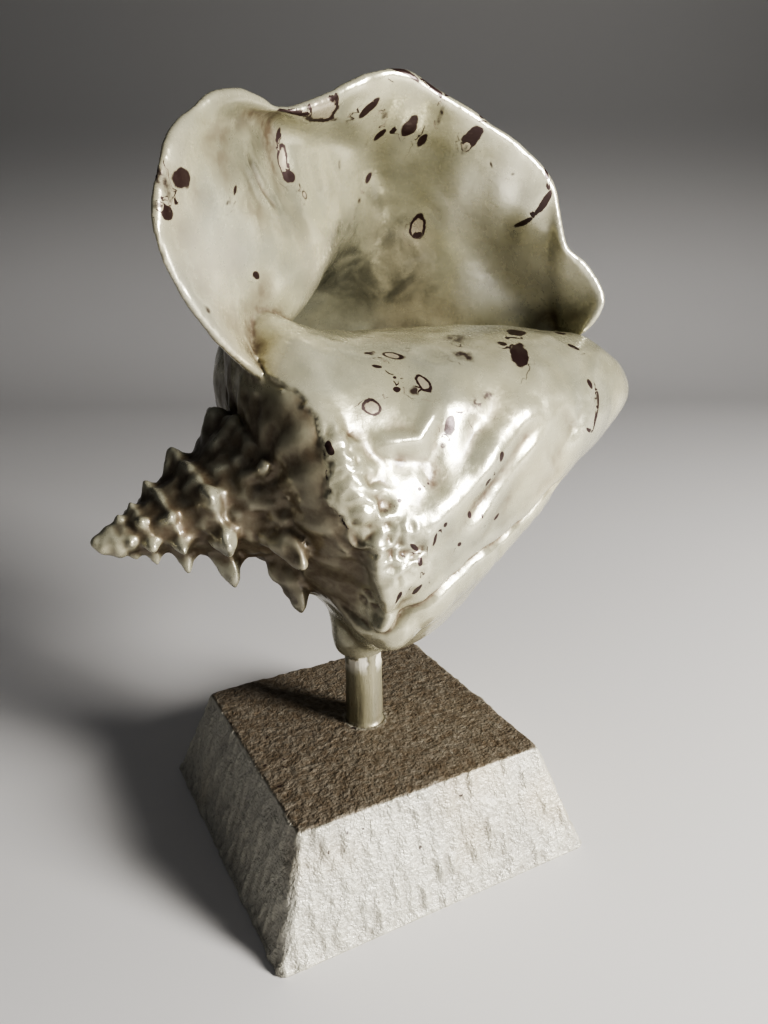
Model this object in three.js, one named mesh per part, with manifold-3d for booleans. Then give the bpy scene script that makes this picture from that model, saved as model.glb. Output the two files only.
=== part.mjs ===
// A queen-type conch shell standing on a square, tapered plinth. A plain round post joins the two.
// Millimetres, +Z up. The origin is the centre of the plinth's underside.
import * as THREE from "three";
import { mergeVertices } from "three/addons/utils/BufferGeometryUtils.js";
import Module from "manifold-3d";

const wasm = await Module();
wasm.setup();

// ---- plinth ----
const PLINTH_FOOT = 130;
const PLINTH_TOP = 101;
const PLINTH_HEIGHT = 42.9;
const PLINTH_CORNER = 2.5;
const PLINTH_ARRIS = 1.6;

// ---- post ----
const POST_DIAMETER = 15;
const POST_FOOT_DEPTH = 15;
const POST_TOP = 92;
const POST_CLEARANCE = 0.3;

// ---- shell ----
// The shell is laid out about its own axis. A point is (xi, y, u): xi runs along the axis from the
// apex, y is the plinth's +Y, and u is square to both, close to straight up. Angles are measured
// backwards along the growth: 0 is up, 90 is to the back, 180 is down and 270 is to the front.
const APEX = new THREE.Vector3(-96.4, 0, 136.3);
const AXIS_RISE = 7.9;
const SHELL_LENGTH = 228;
const AXIS_XI = new THREE.Vector3(
  Math.cos(THREE.MathUtils.degToRad(AXIS_RISE)), 0, Math.sin(THREE.MathUtils.degToRad(AXIS_RISE)));
const AXIS_Y = new THREE.Vector3(0, 1, 0);
const AXIS_U = new THREE.Vector3().crossVectors(AXIS_XI, AXIS_Y);

// Sections of the last whorl, each cut by a half plane through the axis at the angle given.
// A pair is (xi, radius), from the suture over the shoulder and down to the tip of the canal.
const WHORL = [
  { angle: 360, inner: 1.00, curve: [
    [56, 30], [57, 45], [61, 57], [68, 62], [77, 59], [90, 53], [106, 48.5], [126, 44.5],
    [142, 42.5], [160, 40], [180, 35.5], [198, 29.5], [210, 21.5], [219, 12], [225, 4]] },
  { angle: 315, inner: 1.00, curve: [
    [55, 33], [58, 43], [63, 50], [70, 52], [84, 51], [100, 50], [118, 48.5], [136, 46],
    [155, 43], [178, 37.5], [198, 30], [210, 21.5], [219, 12], [225, 4]] },
  { angle: 270, inner: 1.00, curve: [
    [58, 32], [62, 41], [68, 47], [75, 50], [86, 50.5], [100, 50], [118, 47], [136, 44],
    [155, 41], [178, 34.5], [197, 26], [210, 17.5], [218, 10], [224, 4]] },
  { angle: 225, inner: 1.00, curve: [
    [60, 33], [66, 39], [71, 45], [75, 53], [81, 60], [92, 63], [104, 61], [118, 56],
    [138, 47.5], [156, 39], [173, 29], [190, 21.5], [207, 12], [221, 4]] },
  { angle: 180, inner: 1.00, curve: [
    [62, 34], [69, 40], [75, 48], [80, 59], [87, 67], [100, 69], [112, 66], [128, 58],
    [146, 47], [164, 36], [182, 26], [200, 18], [213, 10], [224, 4]] },
  { angle: 135, inner: 0.74, curve: [
    [62, 34], [68, 47], [75, 61], [83, 72], [93, 78], [106, 78], [122, 74], [138, 65],
    [156, 53], [174, 41], [190, 30], [204, 20], [216, 11], [225, 4]] },
  { angle: 90, inner: 0.58, curve: [
    [63, 34], [67, 50], [74, 66], [84, 78], [98, 83], [114, 83], [132, 79], [150, 71],
    [168, 60], [184, 47], [198, 33], [209, 22], [218, 12], [226, 5]] },
  { angle: 50, inner: 0.60, curve: [
    [59, 32], [61, 48], [67, 66], [78, 79], [95, 85], [114, 86], [134, 83], [154, 76],
    [172, 66], [188, 52], [201, 37], [211, 24], [219, 13], [226, 6]] },
];

// The flaring lip, in three curves of (xi, y, u): deep in the aperture, over the crest, at the rim.
const THROAT = [
  [61, 14, 32], [69, 12, 46], [88, 16, 59], [105, 27, 70], [118, 36, 79], [130, 43, 84],
  [144, 47, 85], [159, 45, 78], [180, 38, 65], [195, 31, 50], [205, 23, 37], [211, 17, 25],
  [214, 13, 15], [216, 10, 8]];
const CREST = [
  [60, -2, 44], [63, -4, 57], [68, -4, 71], [75, -1, 84], [83, 5, 97], [92, 13, 106],
  [104, 20, 110], [121, 27, 111], [140, 30, 108], [160, 26, 101], [182, 20, 85], [196, 14, 66],
  [204, 12, 48], [208, 11, 32], [208, 12, 20]];
const RIM = [
  [60, -24, 46], [51, -31, 54], [40, -36, 70], [34, -38, 87], [36, -37, 101], [45, -30, 115],
  [56, -22, 122], [67, -16, 125.5], [82, -7, 122], [94, 0, 121], [108, 5, 124], [120, 8, 128],
  [138, 10, 131], [155, 11, 123], [178, 10, 109], [196, 8, 94], [202, 6, 80], [200, 2, 66],
  [207, 0, 57], [213, -4, 45], [211, -5, 36], [204, 0, 28]];

// Half thickness of the wall: [row of the loft, millimetres]. Row 3 is under the shell, 10 is the rim.
const WALL = [[3, 3.0], [6, 3.2], [8, 2.6], [10, 1.9]];
const FIRST_ROW = 3;
const RIM_ROW = 10;

// Blunt knobs on the last whorl's shoulder: xi, angle, height, half length, half width.
const KNOBS = [
  { xi: 86, angle: 183, height: 4, length: 22, width: 18 },
  { xi: 76, angle: 222, height: 7, length: 16, width: 14 },
  { xi: 82, angle: 247, height: 5, length: 14, width: 12 },
  { xi: 96, angle: 132, height: 16, length: 24, width: 20 },
  { xi: 100, angle: 82, height: 18, length: 26, width: 22 },
  { xi: 98, angle: 38, height: 14, length: 26, width: 22 },
];

// The spire repeats one profile, larger by this much at every turn. Its middle climbs off the
// shell's axis by a share of xi, and its tip is blunt.
const WHORL_GROWTH = 1.5;
const SPIRE_SHOULDER_XI = 76;
const SPIRE_END_XI = 72;
const SPIRE_RAISE = 0.085;
const SPIRE_TIP_RADIUS = 3.6;
// Radius over xi, against the fraction of a turn between one shoulder and the next.
const SPIRE_PROFILE = [
  [0, 0.54], [0.06, 0.53], [0.18, 0.49], [0.45, 0.465], [0.70, 0.46], [0.76, 0.445],
  [0.82, 0.47], [0.93, 0.52], [1, 0.54]];
// Spines on the shoulder: angle turned, height over xi, half length over xi, half width in radians.
const SPINES = [
  [566, 0.25, 0.16, 0.27], [606, 0.20, 0.17, 0.24], [658, 0.08, 0.10, 0.14], [736, 0.07, 0.20, 0.30],
  [795, 0.16, 0.20, 0.30], [850, 0.20, 0.20, 0.28], [892, 0.16, 0.18, 0.24], [927, 0.22, 0.17, 0.24],
  [972, 0.17, 0.17, 0.32], [1014, 0.13, 0.16, 0.28], [1096, 0.13, 0.20, 0.30], [1150, 0.18, 0.20, 0.28],
  [1205, 0.18, 0.20, 0.26], [1250, 0.16, 0.18, 0.24], [1288, 0.20, 0.18, 0.24], [1330, 0.19, 0.19, 0.28],
  [1372, 0.12, 0.17, 0.22], [1457, 0.12, 0.20, 0.26], [1510, 0.17, 0.20, 0.28], [1560, 0.17, 0.20, 0.26],
  [1610, 0.17, 0.20, 0.26], [1650, 0.18, 0.20, 0.25], [1695, 0.19, 0.20, 0.28], [1745, 0.15, 0.20, 0.25],
  [1800, 0.12, 0.20, 0.28], [1860, 0.16, 0.20, 0.30], [1930, 0.17, 0.20, 0.30], [2000, 0.18, 0.22, 0.32],
  [2070, 0.20, 0.22, 0.34], [2150, 0.20, 0.24, 0.36]];
// A spine leans towards the tip by this share of its height.
const SPINE_LEAN = 0.15;

// The boss of shell that closes round the top of the post.
const BOSS_RADIUS = 11;
const BOSS_FOOT = 75;
const BOSS_TOP = 100;

// Fineness of the faceting.
const LOFT_ROWS = 24;
const RIM_ROWS = 5;
const LOFT_COLUMNS = 29;
const CORE_ANGLES = 40;
const CORE_STEPS = 28;
const SPIRE_ANGLES = 52;
const SPIRE_STEPS = 34;

// ---- small helpers ----
function smooth(x) {
  const t = THREE.MathUtils.clamp(x, 0, 1);
  return t * t * (3 - 2 * t);
}

// Straight lines between the pairs of a table.
function lookUp(table, x) {
  let i = 0;
  while (i < table.length - 2 && x > table[i + 1][0]) {
    i += 1;
  }
  const t = THREE.MathUtils.clamp((x - table[i][0]) / (table[i + 1][0] - table[i][0]), 0, 1);
  return table[i][1] + (table[i + 1][1] - table[i][1]) * t;
}

// Second derivatives of a natural cubic through the values, one list for each coordinate.
function bend(knots, values) {
  const n = knots.length;
  const size = values[0].length;
  const ratio = new Array(n).fill(0);
  const moment = values.map(() => new Array(size).fill(0));
  for (let i = 1; i < n - 1; i++) {
    const before = knots[i] - knots[i - 1];
    const after = knots[i + 1] - knots[i];
    const pivot = 2 * (before + after) - before * ratio[i - 1];
    ratio[i] = after / pivot;
    for (let k = 0; k < size; k++) {
      const rise = (values[i + 1][k] - values[i][k]) / after;
      const run = (values[i][k] - values[i - 1][k]) / before;
      moment[i][k] = (6 * (rise - run) - before * moment[i - 1][k]) / pivot;
    }
  }
  for (let i = n - 2; i > 0; i--) {
    for (let k = 0; k < size; k++) {
      moment[i][k] -= ratio[i] * moment[i + 1][k];
    }
  }
  return moment;
}

// A smooth curve through points of any dimension, as a function of the knot value.
function smoothCurve(knots, values) {
  const moment = bend(knots, values);
  return (x) => {
    let i = 0;
    while (i < knots.length - 2 && x > knots[i + 1]) {
      i += 1;
    }
    const gap = knots[i + 1] - knots[i];
    const a = (knots[i + 1] - x) / gap;
    const b = (x - knots[i]) / gap;
    return values[i].map((v, k) => {
      const curl = (a ** 3 - a) * moment[i][k] + (b ** 3 - b) * moment[i + 1][k];
      return a * v + b * values[i + 1][k] + curl * gap * gap / 6;
    });
  };
}

// A smooth curve through the points, run at even speed from 0 to 1.
function evenCurve(points) {
  const at = smoothCurve(points.map((p, i) => i), points);
  const table = [[0, 0]];
  const steps = 200;
  let last = at(0);
  let length = 0;
  for (let i = 1; i <= steps; i++) {
    const knot = (points.length - 1) * i / steps;
    const next = at(knot);
    length += Math.hypot(...next.map((v, k) => v - last[k]));
    table.push([length, knot]);
    last = next;
  }
  return (t) => at(lookUp(table, t * length));
}

// (xi, y, u) to the plinth's frame.
function toWorld(xi, y, u) {
  return APEX.clone()
    .addScaledVector(AXIS_XI, xi)
    .addScaledVector(AXIS_Y, y)
    .addScaledVector(AXIS_U, u);
}

function around(xi, radius, angle) {
  const a = THREE.MathUtils.degToRad(angle);
  return toWorld(xi, radius * Math.sin(a), radius * Math.cos(a));
}

// Height of the knobs at one point of the whorl's surface.
function knobHeight(xi, radius, angle) {
  let height = 0;
  for (const knob of KNOBS) {
    const turn = THREE.MathUtils.euclideanModulo(angle - knob.angle + 180, 360) - 180;
    const along = (xi - knob.xi) / knob.length;
    const across = THREE.MathUtils.degToRad(turn) * radius / knob.width;
    const q = Math.min(Math.hypot(along, across), 1);
    height += knob.height * (1 - q) ** 1.3 * (1 + 0.5 * q);
  }
  return height;
}

// ---- closed meshes from grids ----
// Quads between the rows of a grid, as triangle indices. Either way round can close on itself.
function gridTriangles(rows, columns, start, closeRows) {
  const index = [];
  const last = closeRows ? rows : rows - 1;
  for (let i = 0; i < last; i++) {
    for (let j = 0; j < columns - 1; j++) {
      const a = start + i * columns + j;
      const b = start + ((i + 1) % rows) * columns + j;
      index.push(a, b, b + 1, a, b + 1, a + 1);
    }
  }
  return index;
}

// A geometry with its faces pointing out, whichever way the triangles were listed.
function closedGeometry(points, index) {
  let volume = 0;
  for (let i = 0; i < index.length; i += 3) {
    const [a, b, c] = [points[index[i]], points[index[i + 1]], points[index[i + 2]]];
    volume += a.dot(new THREE.Vector3().crossVectors(b, c));
  }
  if (volume < 0) {
    index = index.slice().reverse();
  }
  const geometry = new THREE.BufferGeometry().setFromPoints(points);
  geometry.setIndex(index);
  return geometry;
}

// Rings of points closed at both ends by a point on the axis.
function closeRings(rings, first, last) {
  const columns = rings[0].length;
  const points = [...rings.flat(), first, last];
  const index = gridTriangles(rings.length, columns, 0, true);
  const end = rings.length * columns;
  for (let i = 0; i < rings.length; i++) {
    const a = i * columns;
    const b = ((i + 1) % rings.length) * columns;
    index.push(b, a, end);
    index.push(a + columns - 1, b + columns - 1, end + 1);
  }
  return closedGeometry(points, index);
}

function toSolid(geometry) {
  const bare = geometry.clone();
  bare.deleteAttribute("normal");
  bare.deleteAttribute("uv");
  const merged = mergeVertices(bare, 1e-5);
  return new wasm.Manifold(new wasm.Mesh({
    numProp: 3,
    vertProperties: new Float32Array(merged.attributes.position.array),
    triVerts: new Uint32Array(merged.index.array),
  }));
}

function toGeometry(solid) {
  const mesh = solid.getMesh();
  const geometry = new THREE.BufferGeometry();
  geometry.setAttribute("position", new THREE.BufferAttribute(new Float32Array(mesh.vertProperties), 3));
  geometry.setIndex(new THREE.BufferAttribute(new Uint32Array(mesh.triVerts), 1));
  geometry.computeVertexNormals();
  return geometry;
}

// ---- the shell ----
// The lip and the outer wall of the last whorl: one sheet, lofted from under the shell to the rim.
function outerWall() {
  const curves = [];
  for (const section of WHORL) {
    const curve = evenCurve(section.curve);
    const a = THREE.MathUtils.degToRad(section.angle);
    curves.push((t) => {
      const [xi, radius] = curve(t);
      return [xi, radius * Math.sin(a), radius * Math.cos(a)];
    });
  }
  curves.push(evenCurve(THROAT), evenCurve(CREST), evenCurve(RIM));
  const knots = curves.map((curve, i) => i);
  const rows = [];
  for (let i = 0; i < LOFT_ROWS; i++) {
    rows.push(FIRST_ROW + (RIM_ROW - 0.4 - FIRST_ROW) * i / LOFT_ROWS);
  }
  for (let i = 0; i < RIM_ROWS; i++) {
    rows.push(RIM_ROW - 0.4 + 0.4 * (1 - (1 - i / (RIM_ROWS - 1)) ** 2));
  }
  const places = rows.map(() => []);
  for (let j = 0; j < LOFT_COLUMNS; j++) {
    const t = j / (LOFT_COLUMNS - 1);
    const across = smoothCurve(knots, curves.map((curve) => curve(t)));
    rows.forEach((row, i) => places[i].push(across(row)));
  }
  return thicken(rows, places);
}

// Gives the sheet its thickness, its knobs, and its rounded edges.
function thicken(rows, places) {
  const grid = places.map((row) => row.map((p) => toWorld(...p)));
  const outer = [];
  const inner = [];
  rows.forEach((row, i) => {
    places[i].forEach((place, j) => {
      const side = j / (LOFT_COLUMNS - 1);
      const normal = gridNormal(grid, i, j);
      const radius = Math.hypot(place[1], place[2]);
      const angle = THREE.MathUtils.radToDeg(Math.atan2(place[1], place[2]));
      const edge = 1 - THREE.MathUtils.clamp((RIM_ROW - row) / 0.12, 0, 1);
      const near = 1 - THREE.MathUtils.clamp(Math.min(side, 1 - side) / 0.03, 0, 1);
      const round = Math.sqrt(1.02 - edge * edge) * Math.sqrt(1.02 - near * near);
      const half = lookUp(WALL, row) * round;
      const onLip = smooth((row - 7) / 1.5);
      const inset = 1.2 * smooth((5 - row) / 0.8);
      const knob = knobHeight(place[0], radius, angle) * smooth(9 - row);
      outer.push(grid[i][j].clone().addScaledVector(normal, half * onLip + knob - inset));
      inner.push(grid[i][j].clone().addScaledVector(normal, -half * (2 - onLip) - inset));
    });
  });
  const columns = LOFT_COLUMNS;
  const size = outer.length;
  const index = gridTriangles(rows.length, columns, 0, false);
  const back = gridTriangles(rows.length, columns, size, false).reverse();
  return closedGeometry([...outer, ...inner], [...index, ...back, ...hem(rows.length, columns, size)]);
}

// The strip that joins the two faces of a sheet round its border.
function hem(rows, columns, size) {
  const border = [];
  for (let j = 0; j < columns - 1; j++) {
    border.push(j);
  }
  for (let i = 0; i < rows - 1; i++) {
    border.push(i * columns + columns - 1);
  }
  for (let j = columns - 1; j > 0; j--) {
    border.push((rows - 1) * columns + j);
  }
  for (let i = rows - 1; i > 0; i--) {
    border.push(i * columns);
  }
  const index = [];
  border.forEach((a, k) => {
    const b = border[(k + 1) % border.length];
    index.push(a, b, b + size, a, b + size, a + size);
  });
  return index;
}

// Unit normal of a grid of points, pointing away from the shell's axis under the shell.
function gridNormal(grid, i, j) {
  const up = grid[Math.min(i + 1, grid.length - 1)][j];
  const down = grid[Math.max(i - 1, 0)][j];
  const right = grid[i][Math.min(j + 1, grid[i].length - 1)];
  const left = grid[i][Math.max(j - 1, 0)];
  const along = new THREE.Vector3().subVectors(right, left);
  const across = new THREE.Vector3().subVectors(up, down);
  return new THREE.Vector3().crossVectors(across, along).normalize();
}

// The solid middle: the whorl's own surface in front, drawn in towards the axis behind the cavity.
function core() {
  const sections = WHORL.map((section) => {
    const curve = evenCurve(section.curve);
    return { angle: section.angle, at: (t) => {
      const [xi, radius] = curve(t);
      return [xi, radius * section.inner];
    } };
  });
  const turn = (by, section) => ({ angle: section.angle + by, at: section.at });
  const before = sections.slice(0, 3).map((section) => turn(-360, section));
  const after = sections.slice(-3).map((section) => turn(360, section));
  const round = [...after, ...sections, ...before].reverse();
  const knots = round.map((section) => section.angle);
  const rings = Array.from({ length: CORE_ANGLES }, () => []);
  for (let j = 0; j < CORE_STEPS; j++) {
    const t = j / (CORE_STEPS - 1);
    const across = smoothCurve(knots, round.map((section) => section.at(t)));
    rings.forEach((ring, i) => {
      const angle = 360 * i / CORE_ANGLES;
      const [xi, radius] = across(angle);
      const knob = knobHeight(xi, radius, angle) * smooth((angle - 160) / 30);
      ring.push(around(xi, radius + knob, angle));
    });
  }
  return closeRings(rings, around(70, 0, 0), around(SHELL_LENGTH, 0, 0));
}

// Radius of the spire at a place along the axis, before its spines.
function spireRadius(xi, angle) {
  const turned = 360 + 360 * Math.log(SPIRE_SHOULDER_XI / xi) / Math.log(WHORL_GROWTH);
  const part = THREE.MathUtils.euclideanModulo((turned - angle) / 360, 1);
  const round = Math.sqrt(1 - (1 - Math.min(xi / SPIRE_TIP_RADIUS, 1)) ** 2);
  return Math.hypot(xi * lookUp(SPIRE_PROFILE, part), SPIRE_TIP_RADIUS) * round;
}

// How far the spines lift the spire's surface.
function spineHeight(xi, angle) {
  let height = 0;
  for (const [turned, share, length, width] of SPINES) {
    const middle = SPIRE_SHOULDER_XI * WHORL_GROWTH ** (-(turned - 360) / 360);
    const turn = THREE.MathUtils.euclideanModulo(angle - turned + 180, 360) - 180;
    const across = THREE.MathUtils.degToRad(turn) / width;
    const q = Math.min(Math.hypot((xi - middle) / (length * middle), across), 1);
    height += share * middle * (1 - q * q) ** 1.7;
  }
  return height;
}

function spire() {
  const rings = [];
  for (let i = 0; i < SPIRE_ANGLES; i++) {
    const angle = 360 * i / SPIRE_ANGLES;
    const ring = [];
    for (let j = 0; j < SPIRE_STEPS; j++) {
      const xi = SPIRE_END_XI * (0.03 + 0.97 * (j / (SPIRE_STEPS - 1)) ** 1.2);
      const spine = spineHeight(xi, angle);
      const place = around(xi - SPINE_LEAN * spine, spireRadius(xi, angle) + spine, angle);
      ring.push(place.addScaledVector(AXIS_U, SPIRE_RAISE * xi));
    }
    rings.push(ring);
  }
  return closeRings(rings, around(0, 0, 0), toWorld(SPIRE_END_XI, 0, SPIRE_RAISE * SPIRE_END_XI));
}

// An upright round bar between two heights.
function bar(radius, foot, top, sides) {
  const geometry = new THREE.CylinderGeometry(radius, radius, top - foot, sides);
  geometry.rotateX(Math.PI / 2);
  geometry.translate(0, 0, (foot + top) / 2);
  return geometry;
}

function boss() {
  const profile = [
    new THREE.Vector2(0, BOSS_FOOT),
    new THREE.Vector2(BOSS_RADIUS * 0.86, BOSS_FOOT),
    new THREE.Vector2(BOSS_RADIUS, BOSS_FOOT + 4),
    new THREE.Vector2(BOSS_RADIUS * 1.15, BOSS_TOP),
    new THREE.Vector2(0, BOSS_TOP),
  ];
  const geometry = new THREE.LatheGeometry(profile, 20);
  geometry.rotateX(Math.PI / 2);
  return geometry;
}

function shellGeometry() {
  const whole = toSolid(core())
    .add(toSolid(spire()))
    .add(toSolid(outerWall()))
    .add(toSolid(boss()));
  const socket = toSolid(bar(POST_DIAMETER / 2 + POST_CLEARANCE, 40, POST_TOP + POST_CLEARANCE, 24));
  const pieces = whole.subtract(socket).decompose();
  pieces.sort((a, b) => b.volume() - a.volume());
  return toGeometry(pieces[0]);
}

// ---- the plinth ----
// One ring of a square with rounded corners.
function squareRing(side, corner, z) {
  const half = side / 2 - corner;
  const ring = [];
  for (let quarter = 0; quarter < 4; quarter++) {
    const cx = quarter === 0 || quarter === 3 ? half : -half;
    const cy = quarter < 2 ? half : -half;
    for (let k = 0; k <= 3; k++) {
      const a = (quarter + k / 3) * Math.PI / 2;
      ring.push(new THREE.Vector3(cx + corner * Math.cos(a), cy + corner * Math.sin(a), z));
    }
  }
  return ring;
}

function plinthGeometry() {
  const slope = (PLINTH_FOOT - PLINTH_TOP) / PLINTH_HEIGHT;
  const levels = [
    [PLINTH_FOOT - 1.6, 0],
    [PLINTH_FOOT, 0.8],
    [PLINTH_TOP + PLINTH_ARRIS * slope, PLINTH_HEIGHT - PLINTH_ARRIS],
    [PLINTH_TOP - 0.5 * PLINTH_ARRIS, PLINTH_HEIGHT - 0.4 * PLINTH_ARRIS],
    [PLINTH_TOP - 1.6 * PLINTH_ARRIS, PLINTH_HEIGHT],
  ];
  const levelRings = levels.map(([side, z]) => squareRing(side, PLINTH_CORNER, z));
  const rings = levelRings[0].map((p, i) => levelRings.map((ring) => ring[i]));
  const block = closeRings(rings, new THREE.Vector3(0, 0, 0), new THREE.Vector3(0, 0, PLINTH_HEIGHT));
  const foot = PLINTH_HEIGHT - POST_FOOT_DEPTH;
  const socket = bar(POST_DIAMETER / 2 + POST_CLEARANCE, foot - POST_CLEARANCE, PLINTH_HEIGHT + 20, 24);
  return toGeometry(toSolid(block).subtract(toSolid(socket)));
}

function postGeometry() {
  return bar(POST_DIAMETER / 2, PLINTH_HEIGHT - POST_FOOT_DEPTH, POST_TOP, 24);
}

// ---- the object ----
function mesh(name, geometry, colour, roughness, metalness) {
  const material = new THREE.MeshStandardMaterial({ color: colour, roughness, metalness });
  const piece = new THREE.Mesh(geometry, material);
  piece.name = name;
  return piece;
}

const object = new THREE.Group();
object.add(mesh("shell", shellGeometry(), "#bdb59c", 0.3, 0.35));
object.add(mesh("post", postGeometry(), "#b3aa90", 0.35, 0.35));
object.add(mesh("base", plinthGeometry(), "#b9b3a2", 0.5, 0.2));

export default object;
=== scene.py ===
"""Looks for the mounted conch: a finely modelled, pearl-painted shell on a post and a hammered plinth."""

import math

import bmesh
import bpy
import numpy as np
from mathutils import Matrix, Vector


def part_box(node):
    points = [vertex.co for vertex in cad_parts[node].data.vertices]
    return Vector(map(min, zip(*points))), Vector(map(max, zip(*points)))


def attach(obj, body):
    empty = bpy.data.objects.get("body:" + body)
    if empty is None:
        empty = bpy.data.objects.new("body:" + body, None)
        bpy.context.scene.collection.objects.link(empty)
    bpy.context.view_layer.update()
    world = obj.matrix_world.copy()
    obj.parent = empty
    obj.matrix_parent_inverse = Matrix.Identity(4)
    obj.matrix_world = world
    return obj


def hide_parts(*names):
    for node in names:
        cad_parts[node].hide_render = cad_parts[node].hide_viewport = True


bl_info = {
    "name": "Mounted conch",
    "version": (1, 0, 0),
    "blender": (4, 5, 0),
    "location": "3D View > Sidebar > Conch",
    "description": "Builds a pearl-painted conch shell on its post and plinth",
    "category": "Add Mesh",
}

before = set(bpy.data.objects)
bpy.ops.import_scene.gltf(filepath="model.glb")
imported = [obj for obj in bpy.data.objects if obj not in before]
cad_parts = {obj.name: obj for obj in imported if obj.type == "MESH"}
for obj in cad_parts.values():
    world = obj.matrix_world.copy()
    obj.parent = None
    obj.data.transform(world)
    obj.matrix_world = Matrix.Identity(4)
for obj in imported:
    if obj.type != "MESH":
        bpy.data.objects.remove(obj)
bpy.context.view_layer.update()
MM = 0.001

# ---------------------------------------------------------------- the shell's own axes
APEX = np.array([-96.4, 0.0, 136.3])
RISE = math.radians(7.9)
ALONG = np.array([math.cos(RISE), 0.0, math.sin(RISE)])
BACK = np.array([0.0, 1.0, 0.0])
UP = np.array([-math.sin(RISE), 0.0, math.cos(RISE)])
SHELL_LENGTH = 228.0

# Sections of the last whorl: angle back from the top, share kept by the solid middle, (along, radius).
WHORL = [
    (360, 1.00, [(56, 30), (57, 45), (61, 57), (68, 62), (77, 59), (90, 53), (106, 48.5), (126, 44.5),
                 (142, 42.5), (160, 40), (180, 35.5), (198, 29.5), (210, 21.5), (219, 12), (225, 4)]),
    (315, 1.00, [(55, 33), (58, 43), (63, 50), (70, 52), (84, 51), (100, 50), (118, 48.5), (136, 46),
                 (155, 43), (178, 37.5), (198, 30), (210, 21.5), (219, 12), (225, 4)]),
    (270, 1.00, [(58, 32), (62, 41), (68, 47), (75, 50), (86, 50.5), (100, 50), (118, 47), (136, 44),
                 (155, 41), (178, 34.5), (197, 26), (210, 17.5), (218, 10), (224, 4)]),
    (225, 1.00, [(60, 33), (66, 39), (71, 45), (75, 53), (81, 60), (92, 63), (104, 61), (118, 56),
                 (138, 47.5), (156, 39), (173, 29), (190, 21.5), (207, 12), (221, 4)]),
    (180, 1.00, [(62, 34), (69, 40), (75, 48), (80, 59), (87, 67), (100, 69), (112, 66), (128, 58),
                 (146, 47), (164, 36), (182, 26), (200, 18), (213, 10), (224, 4)]),
    (135, 0.74, [(62, 34), (68, 47), (75, 61), (83, 72), (93, 78), (106, 78), (122, 74), (138, 65),
                 (156, 53), (174, 41), (190, 30), (204, 20), (216, 11), (225, 4)]),
    (90, 0.58, [(63, 34), (67, 50), (74, 66), (84, 78), (98, 83), (114, 83), (132, 79), (150, 71),
                (168, 60), (184, 47), (198, 33), (209, 22), (218, 12), (226, 5)]),
    (50, 0.60, [(59, 32), (61, 48), (67, 66), (78, 79), (95, 85), (114, 86), (134, 83), (154, 76),
                (172, 66), (188, 52), (201, 37), (211, 24), (219, 13), (226, 6)]),
]
THROAT = [(61, 14, 32), (69, 12, 46), (88, 16, 59), (105, 27, 70), (118, 36, 79), (130, 43, 84),
          (144, 47, 85), (159, 45, 78), (180, 38, 65), (195, 31, 50), (205, 23, 37), (211, 17, 25),
          (214, 13, 15), (216, 10, 8)]
CREST = [(60, -2, 44), (63, -4, 57), (68, -4, 71), (75, -1, 84), (83, 5, 97), (92, 13, 106),
         (104, 20, 110), (121, 27, 111), (140, 30, 108), (160, 26, 101), (182, 20, 85), (196, 14, 66),
         (204, 12, 48), (208, 11, 32), (208, 12, 20)]
RIM = [(60, -24, 46), (51, -31, 54), (40, -36, 70), (34, -38, 87), (36, -37, 101), (45, -30, 115),
       (56, -22, 122), (67, -16, 125.5), (82, -7, 122), (94, 0, 121), (108, 5, 124), (120, 8, 128),
       (138, 10, 131), (155, 11, 123), (178, 10, 109), (196, 8, 94), (202, 6, 80), (200, 2, 66),
       (207, 0, 57), (213, -4, 45), (211, -5, 36), (204, 0, 28)]
WALL = [(3, 3.0), (6, 3.2), (8, 2.6), (10, 1.9)]

# Knobs on the last whorl's shoulder: along, angle, height, half length, half width.
KNOBS = [(86, 183, 4, 22, 18), (76, 222, 7, 16, 14), (82, 247, 5, 14, 12),
         (96, 132, 16, 24, 20), (100, 82, 18, 26, 22), (98, 38, 14, 26, 22)]
WHORL_GROWTH = 1.5
SPIRE_SHOULDER = 76.0
SPIRE_END = 72.0
SPIRE_RAISE = 0.085
SPIRE_TIP = 3.6
SPIRE_PROFILE = [(0, 0.54), (0.06, 0.53), (0.18, 0.49), (0.45, 0.465), (0.70, 0.46), (0.76, 0.445),
                 (0.82, 0.47), (0.93, 0.52), (1, 0.54)]
# Spines on the shoulder: angle turned, height over along, half length over along, half width in radians.
SPINES = [
    (566, 0.25, 0.16, 0.27), (606, 0.20, 0.17, 0.24), (658, 0.08, 0.10, 0.14), (736, 0.07, 0.20, 0.30),
    (795, 0.16, 0.20, 0.30), (850, 0.20, 0.20, 0.28), (892, 0.16, 0.18, 0.24), (927, 0.22, 0.17, 0.24),
    (972, 0.17, 0.17, 0.32), (1014, 0.13, 0.16, 0.28), (1096, 0.13, 0.20, 0.30), (1150, 0.18, 0.20, 0.28),
    (1205, 0.18, 0.20, 0.26), (1250, 0.16, 0.18, 0.24), (1288, 0.20, 0.18, 0.24), (1330, 0.19, 0.19, 0.28),
    (1372, 0.12, 0.17, 0.22), (1457, 0.12, 0.20, 0.26), (1510, 0.17, 0.20, 0.28), (1560, 0.17, 0.20, 0.26),
    (1610, 0.17, 0.20, 0.26), (1650, 0.18, 0.20, 0.25), (1695, 0.19, 0.20, 0.28), (1745, 0.15, 0.20, 0.25),
    (1800, 0.12, 0.20, 0.28), (1860, 0.16, 0.20, 0.30), (1930, 0.17, 0.20, 0.30), (2000, 0.18, 0.22, 0.32),
    (2070, 0.20, 0.22, 0.34), (2150, 0.20, 0.24, 0.36)]
SPINE_LEAN = 0.15
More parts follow.
